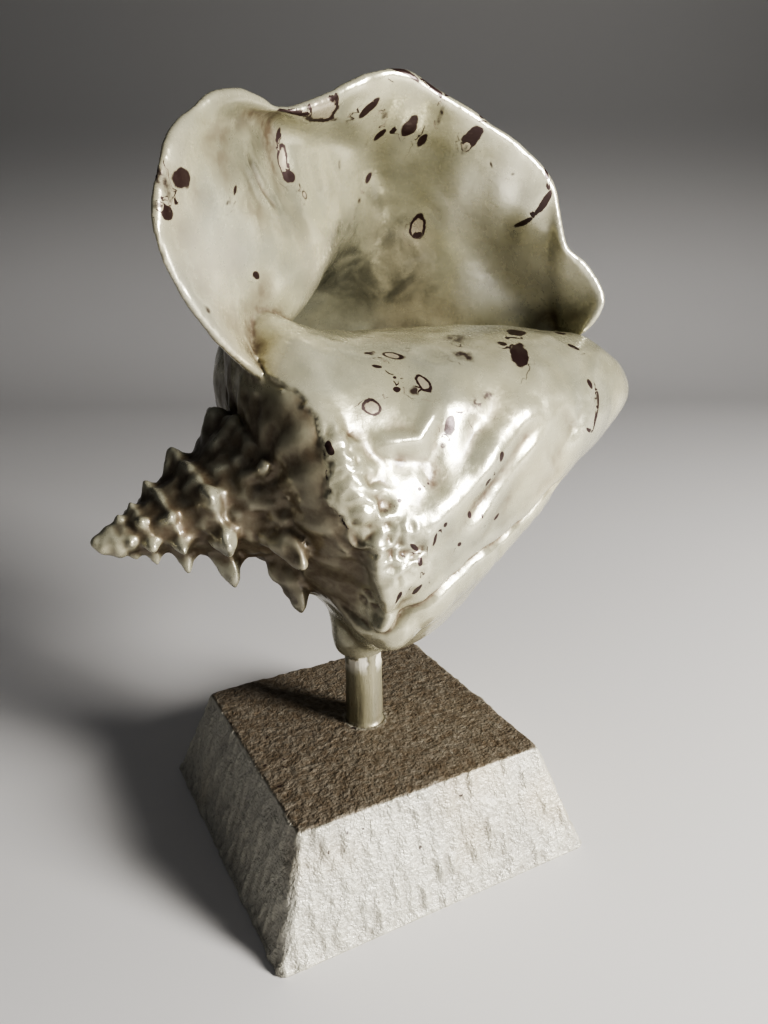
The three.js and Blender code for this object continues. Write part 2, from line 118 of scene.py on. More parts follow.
# The stub under the shell that the post goes into, as (radius, height) pairs about its own upright line.
BOSS = [(0.5, 74.5), (8.4, 74.5), (10.2, 76.5), (11.2, 80), (12, 88), (13, 100), (0.5, 100)]
BOSS_CENTRE = (-0.8, 0.2)
# Where the lip runs into the callus, in the shell's axes.
LIP_CORNER = [(56, -26, 50), (60, -12, 60), (64, -4, 66), (68, 2, 66), (74, 14, 62)]

# The camera, in metres and radians: where it stands, and how it is turned, dipped and rolled.
CAMERA_AT = (-0.1265, -0.2584, 0.2292)
CAMERA_TURN = math.radians(-27.87)
CAMERA_DIP = math.radians(18.63)
CAMERA_ROLL = math.radians(-0.69)

# Dark markings on the paint. On the lip: (along, height), on the body: (along, angle); then half
# width, half height in mm, tilt in degrees, and the kind: 1 a blot, 2 a ring, 3 a faint blot.
LIP_FLECKS = [
    (46, 104, 5.0, 3.6, -10, 1), (39, 105, 2.4, 4.2, 20, 3), (39, 96, 3.6, 2.4, -25, 1),
    (36, 98, 2.6, 1.2, -20, 3), (67, 99, 1.8, 0.8, 50, 1), (62, 97, 1.2, 0.6, 40, 3),
    (91, 114, 1.0, 3.2, 8, 1), (92, 107, 2.6, 4.4, 10, 2), (93, 102, 3.2, 2.6, 0, 1),
    (99, 96, 1.6, 1.6, 0, 2), (107, 120, 11.0, 5.0, -8, 2), (93, 119, 8.0, 0.8, -5, 1),
    (128, 119, 2.2, 5.0, -32, 1), (136, 116, 1.4, 1.8, -20, 3), (135, 111, 1.4, 3.4, -25, 1),
    (146, 113, 3.4, 3.8, 0, 1), (152, 107, 1.6, 4.4, -28, 1), (156, 115, 1.0, 3.4, -10, 3),
    (168, 107, 3.6, 4.6, -30, 1), (166, 102, 1.0, 2.4, -20, 3), (135, 98, 1.6, 2.4, -15, 1),
    (131, 91, 1.2, 1.0, 0, 3), (157, 78, 3.4, 5.8, -10, 2), (157, 74, 2.2, 2.2, 0, 1),
    (196, 81, 1.6, 5.8, -28, 1), (190, 74, 5.4, 1.2, 22, 1), (139, 130, 9.0, 1.0, -16, 1),
    (153, 124, 5.0, 1.0, -32, 1), (173, 114, 2.2, 1.0, -30, 1), (197, 90, 1.0, 2.6, 5, 1),
    (155, 121, 0.8, 0.8, 0, 1), (158, 121, 0.6, 0.8, 0, 1), (184, 92, 0.8, 0.6, 0, 3),
    (45, 70, 1.0, 1.4, 30, 3), (120, 104, 0.7, 2.0, 10, 3), (176, 96, 0.5, 1.6, 20, 3),
]
BODY_FLECKS = [
    (70, 354, 2.6, 1.3, -15, 1), (81, 356, 2.0, 0.8, 0, 1), (135, 341, 6.0, 4.8, 8, 3),
    (162, 342, 5.0, 3.8, 5, 1), (187, 345, 4.0, 2.6, -12, 1), (184, 327, 1.8, 3.0, 40, 1),
    (154, 320, 9.0, 3.6, 44, 1), (151, 330, 2.2, 2.0, 20, 1), (130, 326, 5.0, 3.4, -20, 3),
    (105, 331, 4.2, 1.9, -18, 2), (112, 334, 1.4, 0.6, -10, 3), (97, 326, 1.9, 0.8, -20, 1),
    (96, 332, 1.5, 0.6, 0, 1), (100, 320, 0.7, 0.6, 0, 1), (109, 314, 3.2, 4.4, 30, 2),
    (98, 314, 1.5, 1.1, 0, 1), (104, 313, 1.7, 1.7, 0, 3), (88, 310, 3.4, 3.2, -20, 2),
    (113, 296, 2.6, 3.6, -20, 1), (131, 303, 3.0, 4.2, 20, 3), (123, 300, 2.6, 5.0, 25, 3),
    (108, 289, 1.4, 1.4, 0, 3), (129, 277, 1.5, 1.9, -10, 1), (121, 270, 1.4, 1.7, -40, 1),
    (113, 260, 1.2, 1.6, 10, 1), (126, 252, 1.9, 0.7, 35, 1), (135, 219, 0.8, 2.0, -25, 1),
    (143, 223, 1.0, 2.2, -20, 1), (181, 298, 1.2, 2.2, 5, 1), (182, 288, 0.7, 4.2, -6, 1),
    (180, 276, 0.8, 3.6, -4, 1), (176, 272, 2.6, 0.7, -30, 1), (80, 244, 0.9, 2.8, -12, 1),
    (87, 243, 1.6, 2.4, -30, 1), (89, 258, 2.6, 0.9, -40, 1), (90, 253, 1.3, 1.7, 0, 1),
    (97, 258, 0.9, 2.8, -15, 1), (101, 262, 1.0, 1.0, 0, 1), (95, 276, 0.8, 0.7, 0, 1),
    (88, 275, 0.9, 0.8, 0, 1), (82, 273, 1.0, 1.0, 0, 3), (99, 277, 0.5, 0.5, 0, 1),
    (66, 299, 1.4, 2.4, 15, 1), (107, 250, 1.0, 0.8, 0, 1), (118, 258, 0.5, 0.9, 0, 1),
]


# ---------------------------------------------------------------- curves and noise
def ease(x):
    """0 to 1 with a soft start and end."""
    t = np.clip(x, 0.0, 1.0)
    return t * t * (3.0 - 2.0 * t)


def table(pairs, x):
    """Straight lines between the pairs of a table."""
    xs, ys = zip(*pairs)
    return np.interp(x, xs, ys)


def smooth_curve(knots, values, at):
    """A natural cubic through values, which run along their first axis, read at other knots."""
    knots = np.asarray(knots, float)
    values = np.asarray(values, float)
    flat = values.reshape(len(knots), -1)
    n = len(knots)
    gap = np.diff(knots)
    left = np.eye(n)
    right = np.zeros_like(flat)
    for i in range(1, n - 1):
        left[i, i - 1:i + 2] = gap[i - 1], 2 * (gap[i - 1] + gap[i]), gap[i]
        right[i] = 6 * ((flat[i + 1] - flat[i]) / gap[i] - (flat[i] - flat[i - 1]) / gap[i - 1])
    moment = np.linalg.solve(left, right)
    i = np.clip(np.searchsorted(knots, at) - 1, 0, n - 2)
    g = gap[i][:, None]
    a = (knots[i + 1] - at)[:, None] / g
    b = (at - knots[i])[:, None] / g
    out = a * flat[i] + b * flat[i + 1]
    out += ((a ** 3 - a) * moment[i] + (b ** 3 - b) * moment[i + 1]) * g * g / 6
    return out.reshape((len(at),) + values.shape[1:])


def even_curve(points, at):
    """Points along the smooth curve through points, at these fractions of its length."""
    fine = np.linspace(0, len(points) - 1, 400)
    path = smooth_curve(np.arange(len(points)), points, fine)
    length = np.concatenate([[0], np.cumsum(np.linalg.norm(np.diff(path, axis=0), axis=1))])
    return np.stack([np.interp(at * length[-1], length, path[:, k]) for k in range(path.shape[1])], -1)


def lattice(cell, seed):
    """A fixed value from -1 to 1 for every whole-numbered cell."""
    h = (cell[..., 0] * 73856093) ^ (cell[..., 1] * 19349663) ^ (cell[..., 2] * 83492791)
    h = h ^ (seed * 2654435761)
    h = (h ^ (h >> 13)) * 1274126177 & 0xFFFFFFFF
    h = (h ^ (h >> 16)) * 2246822519 & 0xFFFFFFFF
    return ((h ^ (h >> 15)) & 0xFFFFFF) / 8388607.5 - 1.0


def noise(points, size, seed=0):
    """Smooth noise with lumps about this many millimetres across."""
    p = points / size
    base = np.floor(p).astype(np.int64)
    f = p - base
    f = f * f * f * (f * (f * 6 - 15) + 10)
    total = np.zeros(len(points))
    for corner in range(8):
        pick = np.array([corner & 1, corner >> 1 & 1, corner >> 2 & 1])
        weight = np.prod(np.where(pick, f, 1 - f), axis=1)
        total += weight * lattice(base + pick, seed)
    return total


def cloud(points, size, octaves=3, seed=0):
    """Noise with finer noise on it."""
    total = np.zeros(len(points))
    for k in range(octaves):
        total += noise(points, size / 2 ** k, seed + k) / 2 ** k
    return total / 1.5


# ---------------------------------------------------------------- the shell's frame
def to_plinth(place):
    """(along, y, up) in the shell's axes to millimetres in the plinth's."""
    return APEX + place[..., 0:1] * ALONG + place[..., 1:2] * BACK + place[..., 2:3] * UP


def to_shell(points):
    """Millimetres in the plinth's axes to (along, y, up) in the shell's."""
    rel = points - APEX
    return np.stack([rel @ ALONG, rel @ BACK, rel @ UP], -1)


def ring_place(along, radius, angle):
    turn = np.radians(angle)
    return np.stack([along, radius * np.sin(turn), radius * np.cos(turn)], -1)


def about_axis(place):
    """Along, y, up, distance from the shell's axis and angle back from the top, for each point."""
    along, y, up = place.T
    return along, y, up, np.hypot(y, up), np.degrees(np.arctan2(y, up)) % 360


def angle_off(angle, turn):
    """Degrees from turn to angle, the short way round."""
    return (angle - turn + 180) % 360 - 180


def on_old_whorls(radius, y, up):
    """1 on the ramp and the spire, 0 on the lip and the last whorl's knobs."""
    return ease((66 - radius) / 8) * (1 - ease((up - 38) / 6) * ease((-y - 5) / 10))


def knob_height(along, radius, angle):
    """Height of the whorl's knobs above its smooth surface."""
    height = np.zeros(np.shape(along))
    for at, turn, tall, length, width in KNOBS:
        off = np.radians(angle_off(angle, turn)) * radius
        q = np.minimum(np.hypot((along - at) / length, off / width), 1)
        height += tall * (1 - q) ** 1.3 * (1 + 0.5 * q)
    return height


# ---------------------------------------------------------------- closed surfaces
def grid_quads(rows, columns, start=0, wrap=False):
    i = np.arange(rows if wrap else rows - 1)
    j = np.arange(columns - 1)
    i, j = np.meshgrid(i, j, indexing="ij")
    k = (i + 1) % rows
    quads = np.stack([i * columns + j, k * columns + j, k * columns + j + 1, i * columns + j + 1], -1)
    return quads.reshape(-1, 4) + start


def closed_rings(rings, first, last):
    """Verts and faces of rings that close round, with a point at each end."""
    rows, columns = rings.shape[:2]
    verts = np.concatenate([rings.reshape(-1, 3), [first], [last]])
    faces = grid_quads(rows, columns, wrap=True).tolist()
    end = rows * columns
    for i in range(rows):
        a, b = i * columns, (i + 1) % rows * columns
        faces.append([b, a, end])
        faces.append([a + columns - 1, b + columns - 1, end + 1])
    return verts, faces


def outer_wall(rows, columns):
    """The last whorl's wall and the lip: one thick sheet from under the shell to the rim."""
    t = np.linspace(0, 1, columns)
    curves = []
    for angle, _, section in WHORL:
        curve = even_curve(section, t)
        curves.append(ring_place(curve[:, 0], curve[:, 1], np.full(columns, float(angle))))
    curves += [even_curve(THROAT, t), even_curve(CREST, t), even_curve(RIM, t)]
    near_rim = 9.6 + 0.4 * (1 - (1 - np.linspace(0, 1, 14)) ** 2)
    row = np.concatenate([np.linspace(3, 9.6, rows)[:-1], near_rim])
    place = smooth_curve(np.arange(11), np.array(curves), row)
    grid = to_plinth(place)
    across, along = np.gradient(grid, axis=0), np.gradient(grid, axis=1)
    normal = np.cross(across, along)
    normal /= np.linalg.norm(normal, axis=2, keepdims=True) + 1e-12
    row, side = np.meshgrid(row, t, indexing="ij")
    edge = 1 - np.clip((10 - row) / 0.12, 0, 1)
    near = 1 - np.clip(np.minimum(side, 1 - side) / 0.03, 0, 1)
    half = table(WALL, row) * np.sqrt(1.004 - edge ** 2) * np.sqrt(1.004 - near ** 2)
    on_lip = ease((row - 7) / 1.5)
    inset = 1.2 * ease((5 - row) / 0.8)
    radius = np.hypot(place[..., 1], place[..., 2])
    angle = np.degrees(np.arctan2(place[..., 1], place[..., 2]))
    knob = knob_height(place[..., 0], radius, angle) * ease(9 - row)
    outer = grid + normal * (half * on_lip + knob - inset)[..., None]
    inner = grid - normal * (half * (2 - on_lip) + inset)[..., None]
    verts = np.concatenate([outer.reshape(-1, 3), inner.reshape(-1, 3)])
    n, size = len(row), len(row) * columns
    border = list(range(columns - 1))
    border += [i * columns + columns - 1 for i in range(n - 1)]
    border += [(n - 1) * columns + j for j in range(columns - 1, 0, -1)]
    border += [i * columns for i in range(n - 1, 0, -1)]
    faces = grid_quads(n, columns).tolist() + grid_quads(n, columns, size)[:, ::-1].tolist()
    for a, b in zip(border, border[1:] + border[:1]):
        faces.append([b, a, a + size, b + size])
    return verts, faces


def solid_middle(turns, steps):
    """The body that the aperture wraps round: full in front, drawn in behind the hollow."""
    t = np.linspace(0, 1, steps)
    angles, curves = [], []
    for angle, share, section in WHORL:
        curve = even_curve(section, t)
        curve[:, 1] *= share
        angles.append(float(angle))
        curves.append(curve)
    angles = [a + 360 for a in angles[-3:]] + angles + [a - 360 for a in angles[:3]]
    curves = curves[-3:] + curves + curves[:3]
    angle = np.linspace(0, 360, turns, endpoint=False)
    curve = smooth_curve(angles[::-1], np.array(curves[::-1]), angle)
    angle = np.broadcast_to(angle[:, None], curve.shape[:2])
    knob = knob_height(curve[..., 0], curve[..., 1], angle) * ease((angle - 160) / 30)
    rings = to_plinth(ring_place(curve[..., 0], curve[..., 1] + knob, angle))
    first, last = np.array([70.0, 0, 0]), np.array([SHELL_LENGTH, 0, 0])
    return closed_rings(rings, to_plinth(first), to_plinth(last))


def spire(turns, steps):
    """The earlier whorls: one profile, larger at every turn, with a row of spines on its shoulder."""
    along = SPIRE_END * (0.004 + 0.996 * np.linspace(0, 1, steps) ** 1.2)
    angle = np.linspace(0, 360, turns, endpoint=False)
    angle, along = np.meshgrid(angle, along, indexing="ij")
    turned = 360 + 360 * np.log(SPIRE_SHOULDER / along) / math.log(WHORL_GROWTH)
    blunt = np.sqrt(1 - (1 - np.minimum(along / SPIRE_TIP, 1)) ** 2)
    radius = np.hypot(along * table(SPIRE_PROFILE, (turned - angle) / 360 % 1), SPIRE_TIP) * blunt
    lift = np.zeros(along.shape)
    for at, share, length, width in SPINES:
        middle = SPIRE_SHOULDER * WHORL_GROWTH ** (-(at - 360) / 360)
        off = np.radians(angle_off(angle, at)) / width
        q = np.minimum(np.hypot((along - middle) / (length * middle), off), 1)
        lift += share * middle * (1 - q * q) ** 1.7
    place = ring_place(along - SPINE_LEAN * lift, radius + lift, angle)
    place[..., 2] += SPIRE_RAISE * along
    end = np.array([SPIRE_END, 0, SPIRE_RAISE * SPIRE_END])
    return closed_rings(to_plinth(place), to_plinth(np.zeros(3)), to_plinth(end))


def upright(profile, sides, centre=(0.0, 0.0)):
    """A closed turned shape about an upright line, from (radius, height) pairs."""
    turn = np.linspace(0, 2 * math.pi, sides, endpoint=False)
    radius, height = (np.array(v, float) for v in zip(*profile))
    x = centre[0] + radius * np.cos(turn)[:, None]
    y = centre[1] + radius * np.sin(turn)[:, None]
    rings = np.stack([x, y, np.broadcast_to(height, x.shape)], -1)
    first = (centre[0], centre[1], height[0])
    last = (centre[0], centre[1], height[-1])
    return closed_rings(rings, first, last)


# ---------------------------------------------------------------- mesh plumbing
def new_object(name, verts, faces):
    mesh = bpy.data.meshes.new(name)
    mesh.from_pydata((np.asarray(verts) * MM).tolist(), [], faces)
    mesh.update()
    piece = bpy.data.objects.new(name, mesh)
    bpy.context.collection.objects.link(piece)
    return piece


def face_out(mesh):
    bm = bmesh.new()
    bm.from_mesh(mesh)
    bmesh.ops.recalc_face_normals(bm, faces=bm.faces)
    bm.to_mesh(mesh)
    bm.free()


def remeshed(name, parts, voxel):
    """One skin round overlapping closed parts."""
    verts, faces, start = [], [], 0
    for part_verts, part_faces in parts:
        verts.append(part_verts)
        faces += [[v + start for v in face] for face in part_faces]
        start += len(part_verts)
    rough = new_object(name + "_parts", np.concatenate(verts), faces)
    skin = rough.modifiers.new("Skin", "REMESH")
    skin.mode = "VOXEL"
    skin.voxel_size = voxel * MM
    mesh = bpy.data.meshes.new_from_object(rough.evaluated_get(bpy.context.evaluated_depsgraph_get()))
    bpy.data.objects.remove(rough, do_unlink=True)
    mesh.name = name
    piece = bpy.data.objects.new(name, mesh)
    bpy.context.collection.objects.link(piece)
    return piece


def read_verts(mesh):
    flat = np.empty(len(mesh.vertices) * 3)
    mesh.vertices.foreach_get("co", flat)
    return flat.reshape(-1, 3) / MM


def write_verts(mesh, verts):
    mesh.vertices.foreach_set("co", (verts * MM).ravel())
    mesh.update()


def read_normals(mesh):
    flat = np.empty(len(mesh.vertices) * 3)
    mesh.vertex_normals.foreach_get("vector", flat)
    return flat.reshape(-1, 3)


def read_edges(mesh):
    flat = np.empty(len(mesh.edges) * 2, dtype=np.int32)
    mesh.edges.foreach_get("vertices", flat)
    return flat.reshape(-1, 2)


def relaxed(values, edges, rounds, weight=0.5):
    """Values (or positions) evened out between neighbours, a share of the way each round."""
    values = np.array(values, float)
    flat = values.reshape(len(values), -1)
    weight = np.broadcast_to(weight, (len(values),))[:, None]
    a, b = edges[:, 0], edges[:, 1]
    count = np.bincount(np.concatenate([a, b]), minlength=len(values))[:, None] + 1e-9
    for _ in range(rounds):
        total = np.stack([
            np.bincount(a, flat[b, k], len(values)) + np.bincount(b, flat[a, k], len(values))
            for k in range(flat.shape[1])], -1)
        flat = flat + weight * (total / count - flat)
    return flat.reshape(values.shape)


def write_mask(mesh, name, values):
    layer = mesh.attributes.new(name, "FLOAT", "POINT")
    layer.data.foreach_set("value", np.asarray(values, np.float32))


def write_vectors(mesh, name, values):
    layer = mesh.attributes.new(name, "FLOAT_VECTOR", "POINT")
    layer.data.foreach_set("vector", np.asarray(values, np.float32).ravel())


def line_distance(points, line):
    """Distance to a bent line, and how far along it from 0 to 1."""
    best = np.full(len(points), 1e9)
    run = np.zeros(len(points))
    line = np.asarray(line, float)
    for k in range(len(line) - 1):
        a, d = line[k], line[k + 1] - line[k]
        t = np.clip((points - a) @ d / (d @ d), 0, 1)
        gap = np.linalg.norm(points - a - t[:, None] * d, axis=1)
        near = gap < best
        best = np.where(near, gap, best)
        run = np.where(near, (k + t) / (len(line) - 1), run)
    return best, run


def body_line(*marks):
    """A line over the body from (along, angle, radius) marks, in the shell's axes."""
    marks = np.array(marks, float)
    return ring_place(marks[:, 0], marks[:, 2], marks[:, 1])


# ---------------------------------------------------------------- the shell's relief
# Soft ridges (and hollows, where the height is negative): line, width, height.
FOLDS = [
    # two long ridges across the front, and the softer one that carries on to the canal
    (body_line((84, 266, 51), (94, 262, 51), (107, 268, 49), (122, 276, 46), (140, 290, 45),
               (156, 305, 43)), 6.5, 2.3),
    (body_line((108, 249, 54), (120, 257, 50), (133, 268, 46), (150, 284, 43), (164, 298, 41)), 4.6, 1.2),
    (body_line((138, 288, 45), (156, 296, 42), (178, 291, 39)), 4.5, 1.0),
    # hollows between them
    (body_line((97, 276, 49), (112, 283, 47), (126, 296, 46)), 6.0, -1.5),
    (body_line((112, 259, 49), (128, 270, 46), (146, 286, 43)), 3.4, -1.1),
    (body_line((154, 262, 40), (162, 270, 39), (170, 280, 38)), 7.0, -1.5),
    # the pinch and the folds near the shoulder
    (body_line((84, 297, 50), (99, 294, 50), (109, 303, 50)), 2.8, 1.5),
    (body_line((88, 288, 49), (102, 286, 49), (113, 296, 48)), 4.5, -1.3),
    (body_line((80, 306, 50), (84, 290, 50), (84, 278, 49)), 4.0, -1.0),
    (body_line((70, 312, 51), (72, 302, 51), (73, 288, 49), (75, 273, 50), (77, 262, 51)), 3.6, 1.6),
    # the big knob's keel, with the flat beside it
    (body_line((77, 262, 51), (77, 254, 52), (78, 243, 57), (78, 233, 59), (76, 227, 60)), 3.2, 3.4),
    (body_line((70, 256, 48), (71, 244, 49), (73, 232, 54)), 5.0, -1.6),
    (body_line((87, 246, 58), (84, 238, 60), (80, 229, 60)), 5.0, -1.0),
    # flutes in the lip
    (np.array([(88.0, 0, 121), (90, 8, 110), (88, 12, 100), (88, 14, 90)]), 7.0, -2.0),
    (np.array([(72.0, -5, 106), (76, -3, 99), (80, 2, 92)]), 2.0, 1.0),
    (np.array([(75.0, -4, 107), (79, -1, 100), (83, 4, 93)]), 2.0, -1.2),
    (np.array([(118.0, 20, 118), (122, 34, 104), (124, 44, 92)]), 6.0, 0.7),
    (np.array([(143.0, 20, 118), (146, 34, 102), (146, 44, 88)]), 6.0, 0.7),
    (np.array([(166.0, 16, 110), (168, 30, 96), (166, 38, 84)]), 6.0, 0.6),
    (np.array([(186.0, 10, 90), (188, 18, 76), (186, 24, 66)]), 5.0, -0.9),
    # the groove that drains out beside the callus
    (np.array([(64.0, -2, 52), (68, -16, 48), (70, -28, 44)]), 3.2, -1.3),
]
# Where the callus ends, as (angle, along), and where the whorl's edge runs, as (along, angle).
RAGGED_EDGE = [(262, 74), (275, 68), (282, 65), (295, 67), (307, 68), (314, 68), (320, 67), (327, 63),
               (335, 60), (345, 57)]
STEP_LINE = [(70, 220), (75, 225), (83, 232), (93, 236), (104, 239), (121, 240), (141, 238), (151, 242),
             (159, 244), (166, 246)]
# Crumpled patches: along, angle, size.
CRUMPLES = [(73, 300, 6), (74, 288, 7), (76, 276, 7), (79, 264, 8), (86, 257, 8), (82, 247, 6),
            (76, 236, 5), (70, 262, 6), (160, 246, 5)]
# Painted shade deep in the aperture, on paint that greys there, and painted light, a paler silver, where the
# strength is negative:
# (along, y, up), size, strength.
THROAT_SHADE_AND_LIGHT_CLOUDS = [
    (138, 51, 64, 20, 1.3), (120, 36, 72, 17, 1.0), (140, 42, 88, 20, 0.6), (158, 48, 56, 14, 0.8),
    (71, -12, 119, 9, 0.7), (75, -4, 104, 11, 0.6), (90, 6, 92, 12, 0.6), (80, 2, 112, 9, 0.6),
    (176, 25, 84, 18, -1.2), (192, 30, 52, 20, -1.5), (200, 16, 42, 14, -1.0), (56, -26, 84, 20, -0.5),
]
# Thin splits in the paint and plaster, in (along, angle, radius) marks.
CRACKS = [
    [(61, 333, 51), (64, 325, 52), (68, 316, 52), (69, 307, 51), (67, 297, 50), (66, 288, 48),
     (67, 278, 47), (69, 270, 48)],
    [(66, 288, 48), (62, 284, 46), (61, 276, 44)],
    [(77, 262, 51), (83, 261, 52), (88, 261, 51), (90, 257, 52)],
    [(83, 261, 52), (84, 256, 54), (88, 253, 56)],
    [(88, 247, 58), (86, 240, 60)],
    [(92, 255, 53), (95, 259, 52)],
    [(76, 228, 59), (84, 233, 60), (90, 235, 60)],
    [(71, 247, 48), (73, 238, 52)],
    [(79, 268, 50), (85, 270, 50), (90, 267, 51), (94, 262, 51)],
    [(85, 270, 50), (88, 276, 50)],
    [(94, 252, 55), (92, 245, 58), (94, 240, 60)],
    [(77, 255, 52), (80, 249, 56), (83, 247, 58)],
]


def shell_relief(points, normal, place):
    """How far each point of the shell is lifted, and where the thick callus lies."""
    along, y, up, radius, angle = about_axis(place)
    lift = np.zeros(len(points))
    uneven = 1 + 0.45 * noise(points, 12.0, 11)
    for line, width, height in FOLDS:
        gap, run = line_distance(place, line)
        ends = np.sqrt(np.clip(np.minimum(run, 1 - run) * 6 + 0.25, 0, 1))
        lift += uneven * height * np.exp(-(gap / width) ** 2) * ends
    # the callus ends in a ragged, slightly raised edge near the shoulder
    ragged = table(RAGGED_EDGE, angle) + 2.2 * noise(points, 5.0, 21) + 1.2 * noise(points, 2.0, 22)
    on_front = ease((angle - 268) / 8) * ease((345 - angle) / 8) * ease((radius - 34) / 4)
    callus = ease(along - ragged + 0.5) * on_front
    lift += 1.2 * callus * ease((100 - along) / 30)
    # the whorl's edge coming round from behind: a groove, then a glossy rounded band with cross ribs
    off = np.radians(angle_off(angle, table(STEP_LINE, along))) * radius
    off += 0.7 * noise(points, 6.0, 31)
    on_step = ease((along - 72) / 6) * ease((168 - along) / 10) * ease((radius - 20) / 6)
    on_step *= ease((60 - np.abs(off)) / 20)
    band = np.clip(1 - ((-off - 8) / 7.5) ** 2, 0, 1) * (1.5 + 0.45 * noise(place * (1, 0.15, 0.15), 3.2, 32))
    lift += on_step * (band - 1.5 * np.exp(-(off / 1.4) ** 2) + 0.6 * np.exp(-((off - 3) / 2.5) ** 2))
    # a thick lobe over the canal
    edge = table([(235, 158), (244, 159), (266, 164), (289, 177), (305, 183), (330, 200)], angle)
    lobe = ease((along - edge) / 7.0 + 0.5) * ease((angle - 236) / 6) * ease((335 - angle) / 20)
    lift += 0.7 * lobe * ease((228 - along) / 20)
    # crumpled places along the shoulder and on the big knob
    crumple = np.zeros(len(points))
    for at, turn, size in CRUMPLES:
        spot = ring_place(np.array([at]), np.array([52.0]), np.array([turn]))
        crumple += np.exp(-(np.linalg.norm(place - spot, axis=1) / size) ** 2)
    crease = 1 - np.abs(cloud(points, 8.0, 3, 41)) * 2.6
    lift += np.clip(crumple, 0, 1) * (1.5 * crease - 0.8 + 0.35 * noise(points, 2.6, 43))
    # growth: shallow waves across the ramp and over the back, long soft flutes in the lip
    back = ease((y + 5) / 15) * ease(normal[:, 1] * 2)
    drift = 3.0 * noise(points, 22.0, 58)
    waves = noise(np.stack([angle * 0.5 + drift, along * 0.10, np.zeros_like(along)], -1), 5.0, 51)
    waves *= 0.6 + 0.4 * noise(points, 26.0, 59)
    lift += 0.5 * back * waves + 0.55 * noise(points, 16.0, 52) + 0.35 * noise(points, 8.0, 57)
    inside = on_old_whorls(radius, y, up)
    ramp = ease((70 - along) / 6) * ease((radius - 20) / 10) * inside
    lift += 0.8 * ramp * noise(np.stack([angle * 0.8, radius * 0.2, along * 0.2], -1), 6.0, 53)
    flute = noise(np.stack([along, up * 0.16, y * 0.16], -1), 9.0, 54)
    in_lip = ease((up - 60) / 15) * ease(0.3 - normal[:, 1])
    lift += 0.5 * in_lip * flute
    # spiral cords round the outside of the back, coming and going
    cords = np.sin(along * 0.62 + 2.5 * noise(points, 24.0, 55)) * ease(0.5 + noise(points, 18.0, 56))
    lift += 0.22 * back * cords * ease((along - 90) / 20)
    # the spire's worn, lumpy surface, thick with paint
    on_spire = ease((62 - along) / 8) * inside
    small = np.clip(along / 40, 0.6, 1)
    lift += on_spire * small * (0.7 * noise(points, 6.0, 61) + 0.6 * noise(points, 3.4, 62))
    lift += 1.1 * ease((16 - along) / 6) * (noise(points, 4.2, 64) + 0.3)
    lift += (0.10 - 0.06 * callus) * (1 - 0.6 * in_lip) * cloud(points, 2.4, 2, 63)
    return lift, callus


def shell_flecks(mesh, points, normal, place):
    """Writes, near each marking, the place inside it (u, v) and its kind, for the paint to draw."""
    along, y, up, radius, angle = about_axis(place)
    fleck = np.tile((9.0, 9.0, 0.0), (len(points), 1))
    taken = np.full(len(points), 9.0)
    spots = []
    for at, height, *rest in LIP_FLECKS:
        near = np.hypot(along - at, up - height)
        near = np.where((near < 4) & (normal[:, 1] < 0.3), near * 0.5 + y * 0.3, 1e9)
        spots.append((np.argmin(near), rest))
    for at, turn, *rest in BODY_FLECKS:
        off = np.radians(angle_off(angle, turn)) * radius
        near = np.hypot(along - at, off)
        near = np.where((near < 4) & (radius < 75), near * 0.5 - radius * 0.3, 1e9)
        spots.append((np.argmin(near), rest))
    for centre, (wide, tall, tilt, kind) in spots:
        n = normal[centre]
        right = np.cross(n, (0, 0, 1.0)) * -1
        right /= np.linalg.norm(right) + 1e-9
        above = np.cross(n, right) * -1
        if above[2] < 0:
            above = -above
        if right[0] < 0:
            right = -right
        turn = math.radians(tilt)
        rel = points - points[centre]
        a, b = rel @ right, rel @ above
        u = (a * math.cos(turn) + b * math.sin(turn)) / wide
        v = (b * math.cos(turn) - a * math.sin(turn)) / tall
        depth = np.abs(rel @ n)
        q = np.hypot(u, v)
        margin = 1.0 + 2.6 / min(wide, tall)
        own = (q < margin) & (q < taken) & (depth < 0.5 * max(wide, tall) + 3) & (normal @ n > 0.2)
        fleck[own] = np.stack([u, v, np.full(len(u), float(kind))], -1)[own]
        taken[own] = q[own]
    write_vectors(mesh, "fleck", fleck)


def build_shell(sizes):
    boss = upright(BOSS, 64, BOSS_CENTRE)
    parts = [solid_middle(420, 300), spire(460, 460), outer_wall(300, 320), boss]
    piece = remeshed("conch_shell", parts, sizes.shell_grain * 1000)
    mesh = piece.data
    edges = read_edges(mesh)
    points = relaxed(read_verts(mesh), edges, 2, 0.5)
    place = to_shell(points)
    # the lip runs into the callus without a crease
    corner, _ = line_distance(place, LIP_CORNER)
    points = relaxed(points, edges, 24, 0.5 * ease((11 - corner) / 7))
    # the wall's start, where it leaves the body under the shell
    angle = about_axis(place)[-1]
    points = relaxed(points, edges, 8, 0.5 * ease((angle - 150) / 10) * ease((200 - angle) / 10))
    write_verts(mesh, points)
    normal = read_normals(mesh)
    lift, _ = shell_relief(points, normal, to_shell(points))
    points = points + normal * lift[:, None]
    write_verts(mesh, points)
    thin_out(piece, sizes.most_triangles)
    shell_masks(piece)
    return piece


def thin_out(piece, most):
    """Drops triangles where the surface is flattest, down to the number given."""
    count = sum(len(face.vertices) - 2 for face in piece.data.polygons)
    if count <= most:
        return
    fewer = piece.modifiers.new("Fewer", "DECIMATE")
    fewer.ratio = most / count
    mesh = bpy.data.meshes.new_from_object(piece.evaluated_get(bpy.context.evaluated_depsgraph_get()))
    piece.modifiers.clear()
    old = piece.data
    piece.data = mesh
    bpy.data.meshes.remove(old)


